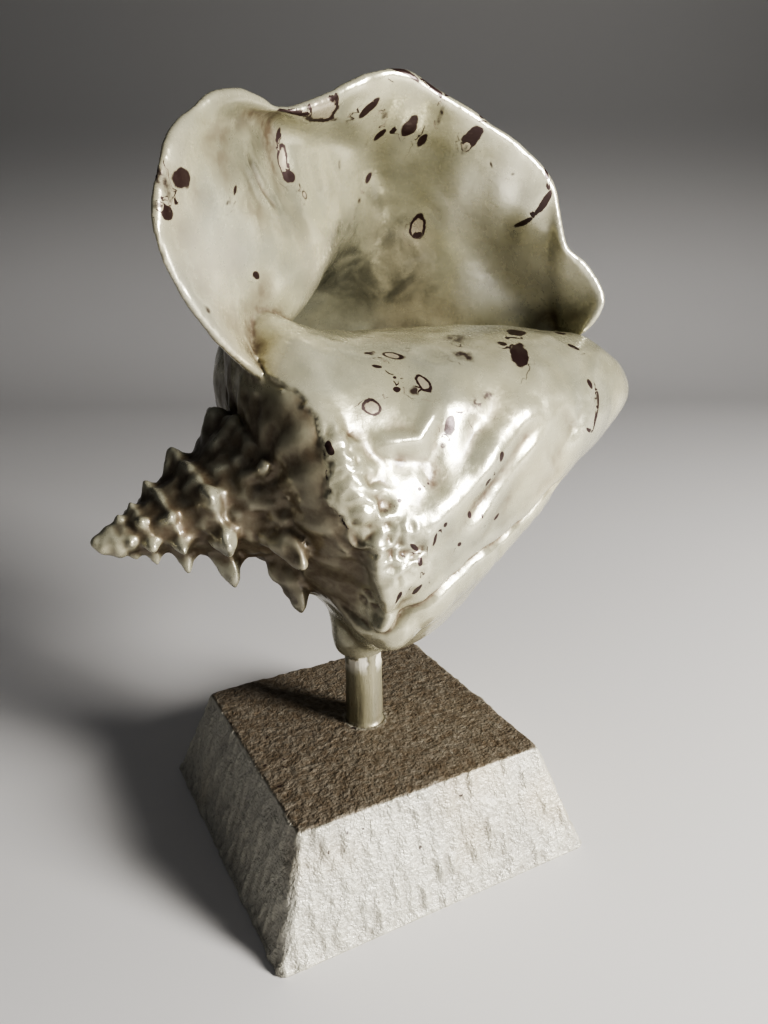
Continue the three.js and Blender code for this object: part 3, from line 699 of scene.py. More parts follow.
def shell_masks(piece):
    """Masks for the paint: hollows, ridges, the antiqued spire with painted shade on it, painted shade in the
    throat, painted light on the aperture's right wall, the markings.
    """
    mesh = piece.data
    points, edges = read_verts(mesh), read_edges(mesh)
    normal, place = read_normals(mesh), to_shell(points)
    along, y, up, radius, angle = about_axis(place)
    fine = np.sum((relaxed(points, edges, 8) - points) * normal, axis=1)
    broad = np.sum((relaxed(points, edges, 60) - points) * normal, axis=1)
    hollow = relaxed(np.clip(fine / 0.35, 0, 1) + np.clip(broad / 1.6, 0, 1), edges, 1)
    ridge = relaxed(np.clip(-fine / 0.35, 0, 1) + np.clip(-broad / 2.0, 0, 1), edges, 1)
    _, callus = shell_relief(points, normal, place)
    # the spire and the ramp below the callus: antiqued, and darkened further as painted shade
    start = table([(0, 62), (200, 64), (225, 72), (245, 74)] + RAGGED_EDGE[:-1] + [(360, 54)], angle)
    ramp = ease((start - along) / 3 + 0.5)
    ramp *= on_old_whorls(radius, y, up)
    antique_and_shade = np.clip(ramp * (1 - callus), 0, 1)
    in_lip = ease((up - 30) / 20) * ease(0.5 - normal[:, 1])
    # painted shade in the aperture, darker towards its back, then clouds of painted shade and, where the
    # strength is negative, painted light
    throat_shade = 0.16 * ease((y - 6) / 34) * in_lip
    for at, deep, high, size, strength in THROAT_SHADE_AND_LIGHT_CLOUDS:
        gap = np.linalg.norm((place - (at, deep, high)) * (1, 0.6, 1.3), axis=1)
        throat_shade += strength * np.exp(-(gap / size) ** 2) * in_lip
    hollow *= 1 - 0.95 * in_lip * ease((along - 84) / 10)
    crack = np.full(len(points), 4.0)
    for line in CRACKS:
        crack = np.minimum(crack, line_distance(place, body_line(*line))[0])
    # the pale painted highlight on ridges is kept on the spire's knobs and lessened on the darker ramp
    ridge *= 1 - 0.5 * antique_and_shade * ease((along - 38) / 14)
    write_mask(mesh, "crack", crack)
    write_mask(mesh, "hollow", np.clip(hollow, 0, 1))
    write_mask(mesh, "ridge", np.clip(ridge, 0, 1))
    write_mask(mesh, "antique_and_shade", antique_and_shade)
    write_mask(mesh, "throat_shade", np.clip(throat_shade, 0, 1))
    # painted light on the aperture's right wall, from the clouds with negative strength
    write_mask(mesh, "painted_light", np.clip(-throat_shade, 0, 1))
    shell_flecks(mesh, points, normal, place)


# ---------------------------------------------------------------- the plinth and the post
def square_ring(side, corner, count):
    """Points evenly spaced round a square with rounded corners, starting mid side."""
    straight = side / 2 - corner
    path = []
    for quarter in range(4):
        c, s = math.cos(quarter * math.pi / 2), math.sin(quarter * math.pi / 2)
        local = [(side / 2, 0.0)]
        for a in np.linspace(0, math.pi / 2, 13):
            local.append((straight + corner * math.cos(a), straight + corner * math.sin(a)))
        path += [(x * c - y * s, x * s + y * c) for x, y in local]
    path = np.array(path + path[:1])
    length = np.concatenate([[0], np.cumsum(np.linalg.norm(np.diff(path, axis=0), axis=1))])
    at = np.linspace(0, length[-1], count, endpoint=False)
    return np.stack([np.interp(at, length, path[:, k]) for k in range(2)], -1)


def build_plinth(sizes):
    foot, top, height = sizes.plinth_foot * 1000, sizes.plinth_top * 1000, sizes.plinth_height * 1000
    grain = sizes.plinth_grain * 1000
    count = int(4 * foot / grain)
    levels = [(foot - 2.4, 3.0, 0.0), (foot - 0.8, 3.2, 0.15), (foot - 0.1, 3.4, 0.8)]
    rows = int(height / grain)
    for z in np.linspace(1.6, height - 2.0, rows):
        levels.append((foot + (top - foot) * z / height, 3.4, z))
    for a in np.linspace(0.15, 1.0, 6) * math.pi / 2:
        levels.append((top + 1.35 - 4.6 * (1 - math.cos(a)) * 0.8, 3.4, height - 2.0 + 2.0 * math.sin(a)))
    inner = sizes.post_width * 500 + 0.4
    rings = []
    for side, corner, z in levels:
        rings.append(np.column_stack([square_ring(side, corner, count), np.full(count, z)]))
    edge = rings[-1][:, :2]
    turn = np.arctan2(edge[:, 1], edge[:, 0])
    hole = inner * np.stack([np.cos(turn), np.sin(turn)], -1)
    for t in np.linspace(0, 1, int(top / 2 / grain))[1:]:
        ring = edge * (1 - t) + hole * t
        rings.append(np.column_stack([ring, np.full(count, height)]))
    rings.append(np.column_stack([hole, np.full(count, height - 6.0)]))
    rings = np.stack(rings, 1)
    verts, faces = closed_rings(rings, (0, 0, 0), (0, 0, height - 6.0))
    piece = new_object("plinth_block", verts, faces)
    face_out(piece.data)
    mesh = piece.data
    points, normal = read_verts(mesh), read_normals(mesh)
    x, y, z = points.T
    side = ease((0.9 - normal[:, 2]) / 0.4)
    upper = 1 - side
    # trowelled daubs that hang down the sides, and hammered dimples on top
    across = np.where(np.abs(normal[:, 0]) > np.abs(normal[:, 1]), y, x)
    daub = noise(np.stack([across, z * 0.38, np.sign(normal[:, 0] + 2 * normal[:, 1]) * 40], -1), 2.6, 71)
    daub = np.clip(daub * 1.3 + 0.35 * noise(points, 1.6, 72), -0.4, 1)
    lower = 0.55 + 0.45 * ease((30 - z) / 22) + 0.35 * noise(points, 18.0, 73)
    pebble = 1 - np.abs(noise(points, 3.4, 74) + 0.45 * noise(points, 1.9, 75)) * 1.5
    lift = side * (daub * lower + 0.22 * pebble)
    lift += upper * (0.26 * pebble - 0.12 + 0.16 * noise(points, 2.2, 76))
    lift += 0.30 * noise(points, 16.0, 77)
    lift -= 0.35
    lift *= ease((z - 0.2) / 1.2) * ease((np.hypot(x, y) - inner) / 1.5)
    write_verts(mesh, points + normal * lift[:, None])
    edges = read_edges(mesh)
    points, normal = read_verts(mesh), read_normals(mesh)
    fine = np.sum((relaxed(points, edges, 4) - points) * normal, axis=1)
    write_mask(mesh, "hollow", np.clip(fine / 0.18, 0, 1))
    write_mask(mesh, "ridge", np.clip(-fine / 0.2, 0, 1))
    write_mask(mesh, "upper", upper)
    return piece


def build_post(sizes):
    width, top = sizes.post_width * 500, 90.0
    start, floor = sizes.plinth_height * 1000 - 14.5, sizes.plinth_height * 1000
    profile = [(0.4, start), (width - 0.3, start), (width, start + 0.5), (width, floor - 1.0)]
    for a in np.linspace(0, math.pi / 2, 10):
        profile.append((width + 2.2 * (1 - math.sin(a)) ** 1.6, floor - 0.6 + 3.2 * (1 - math.cos(a))))
    profile += [(width, z) for z in np.linspace(floor + 3.2, top - 0.6, 90)]
    profile += [(width - 0.3, top), (0.4, top)]
    verts, faces = upright(profile, 120)
    piece = new_object("support_post", verts, faces)
    face_out(piece.data)
    mesh = piece.data
    points, normal = read_verts(mesh), read_normals(mesh)
    x, y, z = points.T
    turn = np.arctan2(y, x)
    around = np.stack([np.cos(turn) * 7.5, np.sin(turn) * 7.5, z * 0.07], -1)
    brushed = noise(around, 1.1, 81) * 0.07 + noise(around, 3.0, 82) * 0.10
    flat = noise(points, 7.0, 83) * 0.18
    chip = ease((noise(points, 3.4, 84) + 0.25 * noise(points, 1.4, 85) - 0.05) / 0.12)
    chip *= ease((z - 66) / 6) * ease((82 - z) / 4)
    spill = ease((floor + 4 - z) / 4) * noise(points, 4.0, 86) * 0.5
    side = ease(1.5 * np.hypot(normal[:, 0], normal[:, 1]) - 0.2) * ease((z - floor) / 2)
    write_verts(mesh, points + normal * (side * (brushed + flat - 0.45 * chip + spill) - 0.12)[:, None])
    write_mask(mesh, "chip", chip * side)
    write_mask(mesh, "hollow", np.clip(-brushed * 4, 0, 1) * 0.6 + ease((floor + 1.6 - z) / 1.6) * 0.8)
    return piece


# ---------------------------------------------------------------- the paints
class Tree:
    """Short calls for placing and joining shader nodes."""

    def __init__(self, tree):
        self.tree = tree

    def add(self, kind, inputs=None, **settings):
        node = self.tree.nodes.new(kind)
        for name, value in settings.items():
            setattr(node, name, value)
        for name, value in (inputs or {}).items():
            socket = node.inputs[name]
            if isinstance(value, bpy.types.NodeSocket):
                self.tree.links.new(value, socket)
            else:
                socket.default_value = value
        return node

    def link(self, out, socket):
        self.tree.links.new(out, socket)

    def maths(self, operation, *values, clamp=False):
        node = self.add("ShaderNodeMath", operation=operation, use_clamp=clamp)
        for k, value in enumerate(values):
            if isinstance(value, bpy.types.NodeSocket):
                self.link(value, node.inputs[k])
            else:
                node.inputs[k].default_value = value
        return node.outputs[0]

    def vector(self, operation, inputs):
        return self.add("ShaderNodeVectorMath", inputs, operation=operation).outputs[0]

    def step(self, value, low, high, to_low=0.0, to_high=1.0):
        """A soft step from low to high."""
        inputs = {"Value": value, "From Min": low, "From Max": high, "To Min": to_low, "To Max": to_high}
        return self.add("ShaderNodeMapRange", inputs, interpolation_type="SMOOTHSTEP").outputs["Result"]

    def blend(self, share, first, second):
        node = self.add("ShaderNodeMix", data_type="RGBA")
        for index, value in ((0, share), (6, first), (7, second)):
            if isinstance(value, bpy.types.NodeSocket):
                self.link(value, node.inputs[index])
            else:
                node.inputs[index].default_value = value
        return node.outputs[2]

    def grain(self, vector, scale, detail=3.0, rough=0.55, distortion=0.0):
        inputs = {"Vector": vector, "Scale": scale, "Detail": detail, "Roughness": rough,
                  "Distortion": distortion}
        return self.add("ShaderNodeTexNoise", inputs).outputs["Fac"]

    def mask(self, name):
        return self.add("ShaderNodeAttribute", attribute_name=name, attribute_type="GEOMETRY").outputs["Fac"]

    def place(self, stretch=(1, 1, 1)):
        coordinate = self.add("ShaderNodeTexCoord").outputs["Object"]
        if stretch == (1, 1, 1):
            return coordinate
        return self.add("ShaderNodeMapping", {"Vector": coordinate, "Scale": stretch}).outputs[0]


def new_group(name, inputs, outputs):
    """An empty shader group with named, typed sockets."""
    group = bpy.data.node_groups.new(name, "ShaderNodeTree")
    for label, kind, value in inputs:
        socket = group.interface.new_socket(label, in_out="INPUT", socket_type=kind)
        if value is not None:
            socket.default_value = value
    for label, kind in outputs:
        group.interface.new_socket(label, in_out="OUTPUT", socket_type=kind)
    tree = Tree(group)
    return group, tree, tree.add("NodeGroupInput").outputs, tree.add("NodeGroupOutput").inputs


def pearl_paint_group():
    """Clouded pearl paint, greyer in places, with a brown antiquing colour that lies in the hollows as
    antiquing and painted shade, and spreads as painted shade where the age-and-shade input is high; the
    ridges are rubbed paler, with painted highlight.
    """
    group, tree, given, out = new_group("Pearl paint", [
        ("Place", "NodeSocketVector", None),
        ("Pearl", "NodeSocketColor", (0.6, 0.55, 0.43, 1)),
        ("Shade", "NodeSocketColor", (0.36, 0.35, 0.28, 1)),
        ("Wash", "NodeSocketColor", (0.10, 0.07, 0.045, 1)),
        ("Hollow", "NodeSocketFloat", 0.0),
        ("Ridge", "NodeSocketFloat", 0.0),
        ("Age", "NodeSocketFloat", 0.0),
        ("Cloud scale", "NodeSocketFloat", 30.0)],
        [("Color", "NodeSocketColor"), ("Roughness", "NodeSocketFloat")])
    clouds = tree.grain(given["Place"], given["Cloud scale"], 4.0, 0.55, 0.4)
    fine = tree.grain(given["Place"], tree.maths("MULTIPLY", given["Cloud scale"], 9.0), 4.0, 0.6)
    colour = tree.blend(tree.step(clouds, 0.42, 0.72), given["Pearl"], given["Shade"])
    warm = tree.grain(given["Place"], tree.maths("MULTIPLY", given["Cloud scale"], 0.6), 2.0, 0.5)
    colour = tree.blend(tree.step(warm, 0.5, 0.75, 0.0, 0.35), colour, (0.50, 0.40, 0.25, 1))
    # darkening in the hollows: antiquing, and painted shade
    hollow_wash_and_shade = tree.maths("MULTIPLY", given["Hollow"], tree.step(fine, 0.30, 0.62, 0.35, 1.0))
    # darkening where the age-and-shade input is high: antiquing on the spire, painted shade on the ramp and
    # on the plinth's top
    aged_and_shaded = tree.maths("MULTIPLY", given["Age"], tree.step(fine, 0.25, 0.70, 0.72, 0.97))
    rubbed = tree.maths("MULTIPLY_ADD", given["Ridge"], -0.85, 1.0, clamp=True)
    wash_and_shade = tree.maths("MULTIPLY", tree.maths("MAXIMUM", hollow_wash_and_shade, aged_and_shaded, clamp=True), rubbed, clamp=True)
    colour = tree.blend(wash_and_shade, colour, given["Wash"])
    # ridges paler: paint rubbed clean, and painted highlight
    worn_and_highlight = tree.maths("MULTIPLY", given["Ridge"], 0.30, clamp=True)
    colour = tree.blend(worn_and_highlight, colour, (0.60, 0.57, 0.45, 1))
    tree.link(colour, out["Color"])
    rough = tree.step(fine, 0.3, 0.7, 0.20, 0.31)
    tree.link(tree.maths("ADD", rough, tree.maths("MULTIPLY", wash_and_shade, 0.28)), out["Roughness"])
    return group


def brush_group():
    """Height of a brushed, slightly pitted coat: fine strokes, orange peel and dust."""
    group, tree, given, out = new_group("Brushed coat", [
        ("Place", "NodeSocketVector", None), ("Stroke scale", "NodeSocketFloat", 300.0),
        ("Peel scale", "NodeSocketFloat", 220.0), ("Stroke", "NodeSocketFloat", 0.4)],
        [("Height", "NodeSocketFloat")])
    strokes = tree.grain(given["Place"], given["Stroke scale"], 3.0, 0.6, 0.3)
    peel = tree.grain(given["Place"], given["Peel scale"], 2.0, 0.5)
    height = tree.maths("MULTIPLY_ADD", strokes, given["Stroke"], peel)
    tree.link(height, out["Height"])
    return group


def pits_group():
    """Scattered small dark pits: a mask that is 1 in each pit."""
    group, tree, given, out = new_group("Pits", [
        ("Place", "NodeSocketVector", None), ("Pit scale", "NodeSocketFloat", 120.0),
        ("Size", "NodeSocketFloat", 0.14), ("Share", "NodeSocketFloat", 0.8)], [("Mask", "NodeSocketFloat")])
    wander = tree.add("ShaderNodeTexNoise", {"Vector": given["Place"], "Scale": 260.0, "Detail": 2.0})
    shifted = tree.vector("SUBTRACT", {0: wander.outputs["Color"], 1: (0.5, 0.5, 0.5)})
    shifted = tree.vector("SCALE", {0: shifted, "Scale": 0.004})
    place = tree.vector("ADD", {0: given["Place"], 1: shifted})
    cells = tree.add("ShaderNodeTexVoronoi", {"Vector": place, "Scale": given["Pit scale"]})
    near = tree.maths("SUBTRACT", given["Size"], cells.outputs["Distance"])
    spot = tree.step(near, 0.0, 0.04)
    chosen = tree.add("ShaderNodeSeparateColor", {"Color": cells.outputs["Color"]}).outputs["Red"]
    tree.link(tree.maths("MULTIPLY", spot, tree.maths("GREATER_THAN", chosen, given["Share"])), out["Mask"])
    return group


def fleck_group():
    """Draws the markings from their own places: solid blots, rings, and faint brushed ones."""
    group, tree, given, out = new_group("Flecks", [("Place", "NodeSocketVector", None)],
                                        [("Mask", "NodeSocketFloat"), ("Inside", "NodeSocketFloat")])
    own = tree.add("ShaderNodeAttribute", attribute_name="fleck", attribute_type="GEOMETRY").outputs["Vector"]
    parts = tree.add("ShaderNodeSeparateXYZ", {0: own}).outputs
    wander = tree.add("ShaderNodeTexNoise", {
        "Vector": given["Place"], "Scale": 330.0, "Detail": 3.0, "Roughness": 0.6})
    bends = tree.add("ShaderNodeSeparateColor", {"Color": wander.outputs["Color"]}).outputs
    slow = tree.add("ShaderNodeTexNoise", {"Vector": given["Place"], "Scale": 110.0, "Detail": 1.0})
    slow = tree.add("ShaderNodeSeparateColor", {"Color": slow.outputs["Color"]}).outputs
    u = tree.maths("MULTIPLY_ADD", tree.maths("SUBTRACT", bends[0], 0.5), 0.55, parts[0])
    u = tree.maths("MULTIPLY_ADD", tree.maths("SUBTRACT", slow[0], 0.5), 1.3, u)
    v = tree.maths("MULTIPLY_ADD", tree.maths("SUBTRACT", bends[1], 0.5), 0.55, parts[1])
    v = tree.maths("MULTIPLY_ADD", tree.maths("SUBTRACT", slow[1], 0.5), 1.3, v)
    reach = tree.maths("SQRT", tree.maths("ADD", tree.maths("MULTIPLY", u, u), tree.maths("MULTIPLY", v, v)))
    kind = parts[2]
    present = tree.maths("GREATER_THAN", kind, 0.85)
    blot = tree.step(reach, 0.82, 0.98, 1.0, 0.0)
    band = tree.maths("ABSOLUTE", tree.maths("SUBTRACT", reach, 0.80))
    ring = tree.step(band, 0.10, 0.20, 1.0, 0.0)
    faint = tree.step(reach, 0.45, 1.15, 1.0, 0.0)
    faint = tree.maths("MULTIPLY", faint, tree.step(bends[2], 0.38, 0.60, 0.35, 0.95))
    is_ring = tree.maths("COMPARE", kind, 2.0, 0.45)
    is_faint = tree.maths("GREATER_THAN", kind, 2.5)
    is_blot = tree.maths("LESS_THAN", kind, 1.5)
    mask = tree.maths("MULTIPLY", is_blot, blot)
    mask = tree.maths("MULTIPLY_ADD", is_ring, ring, mask)
    mask = tree.maths("MULTIPLY_ADD", is_faint, faint, mask)
    tree.link(tree.maths("MULTIPLY", mask, present), out["Mask"])
    inside = tree.maths("MULTIPLY", is_ring, present)
    inside = tree.maths("MULTIPLY", inside, tree.step(reach, 0.6, 0.8, 1.0, 0.0))
    tree.link(inside, out["Inside"])
    return group


def place_group(tree, group, **values):
    inputs = {name.replace("_", " "): value for name, value in values.items()}
    return tree.add("ShaderNodeGroup", inputs, node_tree=group).outputs


def new_material(name, colour):
    material = bpy.data.materials.new(name)
    material.use_nodes = True
    material.diffuse_color = colour
    material.node_tree.nodes.clear()
    tree = Tree(material.node_tree)
    shader = tree.add("ShaderNodeBsdfPrincipled")
    tree.link(shader.outputs[0], tree.add("ShaderNodeOutputMaterial").inputs["Surface"])
    return material, tree, shader


def rgba(colour):
    return (colour[0], colour[1], colour[2], 1.0)


def shell_paint(colours, groups):
    """Glossy pearl with antiquing and painted shade in the hollows and over the spire and its ramp, painted
    shade deep in the aperture, painted light on its right wall, and dark flecks.
    """
    material, tree, shader = new_material("Shell pearl paint", rgba(colours.pearl))
    place = tree.place()
    throat_shade = tree.mask("throat_shade")
    paint = place_group(
        tree, groups["paint"], Place=place, Pearl=rgba(colours.pearl), Shade=rgba(colours.shade),
        Wash=rgba(colours.wash_and_shade), Hollow=tree.mask("hollow"), Ridge=tree.mask("ridge"),
        Age=tree.mask("antique_and_shade"), Cloud_scale=26.0)
    grey = tree.grain(place, 60.0, 3.0, 0.6, 0.6)
    # painted shade deep in the aperture, in uneven clouds of near-black greenish grey
    deep = tree.maths("MULTIPLY", throat_shade, tree.step(grey, 0.3, 0.7, 0.35, 0.95))
    colour = tree.blend(deep, paint["Color"], rgba(colours.throat_shade))
    # painted light on the right wall of the aperture
    colour = tree.blend(tree.maths("MULTIPLY", tree.mask("painted_light"), 0.9), colour, rgba(colours.painted_light))
    flecks = place_group(tree, groups["flecks"], Place=place)
    colour = tree.blend(tree.maths("MULTIPLY", flecks["Inside"], 0.5), colour, rgba(colours.fleck_inside))
    specks = place_group(tree, groups["pits"], Place=place, Pit_scale=95.0, Size=0.075, Share=0.86)["Mask"]
    smudge = tree.step(tree.grain(place, 14.0, 2.0), 0.50, 0.66)
    specks = tree.maths("MULTIPLY", specks, smudge)
    jagged = tree.maths("MULTIPLY_ADD", tree.grain(place, 420.0, 3.0, 0.7), 1.5, -0.75)
    gap = tree.maths("ABSOLUTE", tree.maths("ADD", tree.mask("crack"), jagged))
    near = tree.step(tree.mask("crack"), 0.8, 1.3, 1.0, 0.0)
    split = tree.maths("MULTIPLY", tree.step(gap, 0.22, 0.50, 1.0, 0.0), near)
    split = tree.maths("MULTIPLY", split, tree.step(tree.grain(place, 90.0, 2.0), 0.34, 0.46))
    dark = tree.maths("MAXIMUM", tree.maths("MAXIMUM", flecks["Mask"], specks), split, clamp=True)
    colour = tree.blend(tree.maths("MULTIPLY", dark, 0.97), colour, rgba(colours.fleck))
    tree.link(colour, shader.inputs["Base Color"])
    rough = tree.maths("MULTIPLY_ADD", dark, 0.12, paint["Roughness"])
    tree.link(rough, shader.inputs["Roughness"])
    coat = place_group(tree, groups["brush"], Place=place, Stroke_scale=420.0, Peel_scale=120.0, Stroke=0.35)
    bump = tree.add("ShaderNodeBump", {"Height": coat["Height"], "Strength": 0.35, "Distance": 0.0006})
    tree.link(bump.outputs[0], shader.inputs["Normal"])
    shader.inputs["Metallic"].default_value = 0.42
    tree.link(tree.maths("MULTIPLY_ADD", dark, -0.5, 0.6), shader.inputs["Coat Weight"])
    shader.inputs["Coat Roughness"].default_value = 0.16
    return material


def post_paint(colours, groups):
    """The same pearl, drawn out in upright brush strokes, with a raw chipped patch under the shell."""
    material, tree, shader = new_material("Post pearl paint", rgba(colours.pearl))
    place = tree.place((1, 1, 0.12))
    paint = place_group(
        tree, groups["paint"], Place=place, Pearl=rgba(colours.pearl), Shade=rgba(colours.shade),
        Wash=rgba(colours.wash_and_shade), Hollow=tree.mask("hollow"), Ridge=0.0, Age=0.3, Cloud_scale=160.0)
    chip = tree.mask("chip")
    colour = tree.blend(chip, paint["Color"], rgba(colours.chip))
    tree.link(colour, shader.inputs["Base Color"])
    tree.link(tree.maths("MULTIPLY_ADD", chip, 0.25, paint["Roughness"]), shader.inputs["Roughness"])
    coat = place_group(tree, groups["brush"], Place=place, Stroke_scale=900.0, Peel_scale=350.0, Stroke=0.8)
    bump = tree.add("ShaderNodeBump", {"Height": coat["Height"], "Strength": 0.5, "Distance": 0.0004})
    tree.link(bump.outputs[0], shader.inputs["Normal"])
    shader.inputs["Metallic"].default_value = 0.4
    shader.inputs["Coat Weight"].default_value = 0.3
    shader.inputs["Coat Roughness"].default_value = 0.25
    return material


def plinth_paint(colours, groups):
    """Pearl over a hammered ground: browner on top as painted shade, pitted, rubbed pale on the high spots
    with painted highlight.
    """
    material, tree, shader = new_material("Plinth pearl paint", rgba(colours.pearl))
    place = tree.place()
    upper = tree.mask("upper")
    hollow = tree.maths("MULTIPLY", tree.mask("hollow"), tree.step(upper, 0.0, 1.0, 0.35, 0.85))
    ridge = tree.maths("MULTIPLY", tree.mask("ridge"), tree.step(upper, 0.0, 1.0, 1.0, 0.25))
    # the top takes the brown antiquing colour almost all over, as painted shade
    paint = place_group(
        tree, groups["paint"], Place=place, Pearl=rgba(colours.plinth), Shade=rgba(colours.plinth_shade),
        Wash=rgba(colours.wash_and_shade), Hollow=hollow, Ridge=ridge, Age=upper, Cloud_scale=38.0)
    pits = place_group(tree, groups["pits"], Place=place, Pit_scale=150.0, Size=0.13, Share=0.84)["Mask"]
    colour = tree.blend(tree.maths("MULTIPLY", pits, 0.85), paint["Color"], rgba(colours.fleck))
    tree.link(colour, shader.inputs["Base Color"])
    tree.link(tree.maths("ADD", paint["Roughness"], 0.10), shader.inputs["Roughness"])
    coat = place_group(tree, groups["brush"], Place=place, Stroke_scale=520.0, Peel_scale=900.0, Stroke=0.9)
    bump = tree.add("ShaderNodeBump", {"Height": coat["Height"], "Strength": 0.8, "Distance": 0.0009})
    tree.link(bump.outputs[0], shader.inputs["Normal"])
    shader.inputs["Metallic"].default_value = 0.2
    shader.inputs["Coat Weight"].default_value = 0.15
    shader.inputs["Coat Roughness"].default_value = 0.3
    return material


def stage_paint():
    material, tree, shader = new_material("Pale studio paper", (0.8, 0.78, 0.76, 1))
    shade = tree.grain(tree.place(), 1.5, 2.0)
    colour = tree.blend(tree.step(shade, 0.3, 0.7), (0.72, 0.70, 0.685, 1), (0.75, 0.73, 0.715, 1))
    height = tree.add("ShaderNodeSeparateXYZ", {0: tree.place()}).outputs["Z"]
    colour = tree.blend(tree.step(height, 0.0, 0.5), colour, (0.26, 0.255, 0.25, 1))
    tree.link(colour, shader.inputs["Base Color"])
    shader.inputs["Roughness"].default_value = 0.6
    return material


# ---------------------------------------------------------------- settings
class ConchSizes(bpy.types.PropertyGroup):
    shell_grain: bpy.props.FloatProperty(
        name="Shell fineness", description="Size of the shell's finest faces", default=0.00085,
        min=0.0005, max=0.004, unit="LENGTH", precision=5)
    most_triangles: bpy.props.IntProperty(
        name="Most triangles", description="The shell is thinned to this many triangles", default=192000,
        min=20000, max=199000)
    plinth_foot: bpy.props.FloatProperty(
        name="Plinth foot", description="Side of the plinth at its foot", default=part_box("base")[1][0] * 2,
        unit="LENGTH", precision=4)
    plinth_top: bpy.props.FloatProperty(
        name="Plinth top", description="Side of the plinth at its top", default=0.101,
        unit="LENGTH", precision=4)
    plinth_height: bpy.props.FloatProperty(
        name="Plinth height", description="Height of the plinth", default=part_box("base")[1][2],
        unit="LENGTH", precision=4)
    plinth_grain: bpy.props.FloatProperty(
        name="Plinth fineness", description="Size of the plinth's finest faces", default=0.00095,
        min=0.0005, max=0.01, unit="LENGTH", precision=5)
    post_width: bpy.props.FloatProperty(
        name="Post width", description="Diameter of the post", default=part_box("post")[1][0] * 2,
        unit="LENGTH", precision=4)


def paint_colour(label, about, value):
    return bpy.props.FloatVectorProperty(
        name=label, description=about, default=value, subtype="COLOR", min=0, max=1)


class ConchColours(bpy.types.PropertyGroup):
    pearl: paint_colour("Pearl", "The shell's paint in the light", (0.41, 0.39, 0.27))
    shade: paint_colour("Clouds", "The greyer clouds in the paint", (0.30, 0.295, 0.225))
    # the antiquing colour, also used as painted shade on the spire's ramp and the plinth's top
    wash_and_shade: paint_colour("Wash", "The brown wash left in the hollows", (0.115, 0.082, 0.05))
    # painted shade deep in the aperture, greenish grey
    throat_shade: paint_colour("Throat shade", "The greenish grey deep in the aperture", (0.075, 0.073, 0.053))
    # painted light on the right wall of the aperture, which lies in shade under the lamps
    painted_light: paint_colour("Painted light", "The paler paint on the right of the aperture", (0.72, 0.70, 0.59))
    fleck: paint_colour("Flecks", "The dark markings", (0.028, 0.010, 0.011))
    fleck_inside: paint_colour("Inside a ring", "The tinted middle of a ring marking", (0.40, 0.33, 0.25))
    chip: paint_colour("Chipped", "The raw ground where the post's paint has chipped", (0.74, 0.70, 0.60))
    plinth: paint_colour("Plinth", "The plinth's paint", (0.53, 0.51, 0.44))
    plinth_shade: paint_colour("Plinth clouds", "The darker clouds on the plinth", (0.44, 0.42, 0.365))


class StageSettings(bpy.types.PropertyGroup):
    key_power: bpy.props.FloatProperty(
        name="Window light", description="Power of the main light", default=26.0, unit="POWER")
    fill_power: bpy.props.FloatProperty(
        name="Fill light", description="Power of the soft light from the left", default=0.5, unit="POWER")
    sky: bpy.props.FloatProperty(
        name="Room light", description="Strength of the light from all round", default=0.085)
    lens: bpy.props.FloatProperty(
        name="Lens", description="Focal length of the camera", default=28.24, unit="CAMERA")


# ---------------------------------------------------------------- operators
def paint_groups():
    wanted = {"paint": ("Pearl paint", pearl_paint_group), "brush": ("Brushed coat", brush_group),
              "pits": ("Pits", pits_group), "flecks": ("Flecks", fleck_group)}
    return {key: bpy.data.node_groups.get(name) or make() for key, (name, make) in wanted.items()}


def settle(piece, node, material):
    """Gives a finished piece its paint and its place in the frame."""
    piece.data.materials.clear()
    piece.data.materials.append(material)
    for face in piece.data.polygons:
        face.use_smooth = True
    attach(piece, "root")
    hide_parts(node)


class CONCH_OT_shell(bpy.types.Operator):
    """Models the conch shell and paints it"""

    bl_idname = "conch.shell"
    bl_label = "Shell"
    bl_options = {"REGISTER", "UNDO"}

    def execute(self, context):
        piece = build_shell(context.scene.conch_sizes)
        settle(piece, "shell", shell_paint(context.scene.conch_colours, paint_groups()))
        return {"FINISHED"}


class CONCH_OT_post(bpy.types.Operator):
    """Turns the post, with its brushed and chipped paint"""

    bl_idname = "conch.post"
    bl_label = "Post"
    bl_options = {"REGISTER", "UNDO"}

    def execute(self, context):
        piece = build_post(context.scene.conch_sizes)
        settle(piece, "post", post_paint(context.scene.conch_colours, paint_groups()))
        return {"FINISHED"}


class CONCH_OT_plinth(bpy.types.Operator):
    """Makes the tapered plinth with its hammered surface"""

    bl_idname = "conch.plinth"
    bl_label = "Plinth"
    bl_options = {"REGISTER", "UNDO"}

    def execute(self, context):
        piece = build_plinth(context.scene.conch_sizes)
        settle(piece, "base", plinth_paint(context.scene.conch_colours, paint_groups()))
        return {"FINISHED"}


def area_light(name, at, towards, width, height, power, colour):
    light = bpy.data.lights.new(name, "AREA")
    light.shape = "RECTANGLE"
    light.size, light.size_y = width, height
    light.energy = power
    light.color = colour
    lamp = bpy.data.objects.new(name, light)
    lamp.location = at
    lamp.rotation_euler = (Vector(towards) - Vector(at)).to_track_quat("-Z", "Y").to_euler()
    bpy.context.collection.objects.link(lamp)
    return lamp


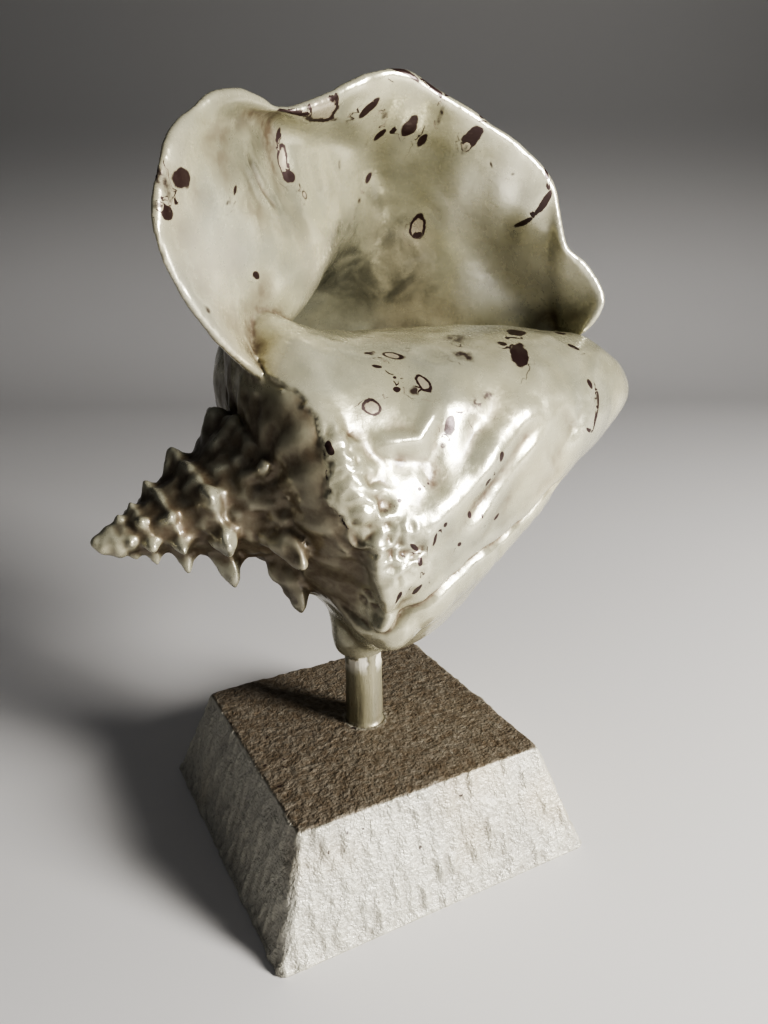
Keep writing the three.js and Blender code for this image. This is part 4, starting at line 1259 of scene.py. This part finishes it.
def paper_sweep():
    """The floor and the wall behind it, in one bent sheet."""
    profile = [(-7.0, 0.0), (0.9, 0.0)]
    profile += [(0.9 + 0.8 * math.sin(a), 0.8 - 0.8 * math.cos(a)) for a in np.linspace(0.1, math.pi / 2, 14)]
    profile += [(1.7, 3.4)]
    verts = [(x, y, z) for x in (-7.0, 7.0) for y, z in profile]
    n = len(profile)
    faces = [(k, k + 1, n + k + 1, n + k) for k in range(n - 1)]
    mesh = bpy.data.meshes.new("paper_sweep")
    mesh.from_pydata(verts, [], faces)
    for face in mesh.polygons:
        face.use_smooth = True
    sweep = bpy.data.objects.new("paper_sweep", mesh)
    sweep.rotation_euler = (0, 0, CAMERA_TURN)
    bpy.context.collection.objects.link(sweep)
    mesh.materials.append(stage_paint())


class CONCH_OT_stage(bpy.types.Operator):
    """Sets the pale paper, the soft lights and the camera"""

    bl_idname = "conch.stage"
    bl_label = "Stage"
    bl_options = {"REGISTER", "UNDO"}

    def execute(self, context):
        settings = context.scene.conch_stage
        paper_sweep()
        key, fill = settings.key_power, settings.fill_power
        area_light("window", (0.62, -0.92, 0.50), (0, 0, 0.15), 0.32, 0.42, key, (1.0, 0.985, 0.95))
        area_light("fill", (-1.2, -0.6, 0.9), (0, 0, 0.12), 1.0, 1.0, fill, (0.93, 0.96, 1.0))
        world = context.scene.world or bpy.data.worlds.new("room")
        context.scene.world = world
        world.use_nodes = True
        context.scene.view_settings.look = "AgX - High Contrast"
        context.scene.view_settings.exposure = 0.1
        backdrop = world.node_tree.nodes["Background"]
        backdrop.inputs["Color"].default_value = (0.90, 0.93, 1.0, 1)
        backdrop.inputs["Strength"].default_value = settings.sky
        data = bpy.data.cameras.new("camera")
        data.lens = settings.lens
        data.sensor_width = 36.0
        data.clip_start = 0.01
        camera = bpy.data.objects.new("camera", data)
        turn = Matrix.Rotation(CAMERA_TURN, 4, "Z")
        dip = Matrix.Rotation(math.pi / 2 - CAMERA_DIP, 4, "X")
        roll = Matrix.Rotation(CAMERA_ROLL, 4, "Z")
        camera.matrix_world = Matrix.Translation(CAMERA_AT) @ turn @ dip @ roll
        bpy.context.collection.objects.link(camera)
        context.scene.camera = camera
        return {"FINISHED"}


class CONCH_PT_panel(bpy.types.Panel):
    """Lists the pieces and their settings"""

    bl_idname = "CONCH_PT_panel"
    bl_label = "Mounted conch"
    bl_space_type = "VIEW_3D"
    bl_region_type = "UI"
    bl_category = "Conch"

    def draw(self, context):
        for operator in STEPS:
            self.layout.operator(operator.bl_idname)
        for name in ("conch_sizes", "conch_colours", "conch_stage"):
            settings = getattr(context.scene, name)
            column = self.layout.column(align=True)
            for key in settings.__annotations__:
                column.prop(settings, key)


STEPS = (CONCH_OT_shell, CONCH_OT_post, CONCH_OT_plinth, CONCH_OT_stage)
CLASSES = (ConchSizes, ConchColours, StageSettings) + STEPS + (CONCH_PT_panel,)


def register():
    for cls in CLASSES:
        bpy.utils.register_class(cls)
    bpy.types.Scene.conch_sizes = bpy.props.PointerProperty(type=ConchSizes)
    bpy.types.Scene.conch_colours = bpy.props.PointerProperty(type=ConchColours)
    bpy.types.Scene.conch_stage = bpy.props.PointerProperty(type=StageSettings)


def unregister():
    del bpy.types.Scene.conch_stage
    del bpy.types.Scene.conch_colours
    del bpy.types.Scene.conch_sizes
    for cls in reversed(CLASSES):
        bpy.utils.unregister_class(cls)


def main():
    register()
    bpy.ops.conch.stage()
    bpy.ops.conch.shell()
    bpy.ops.conch.post()
    bpy.ops.conch.plinth()
    bpy.context.view_layer.update()


if __name__ == "__main__":
    main()
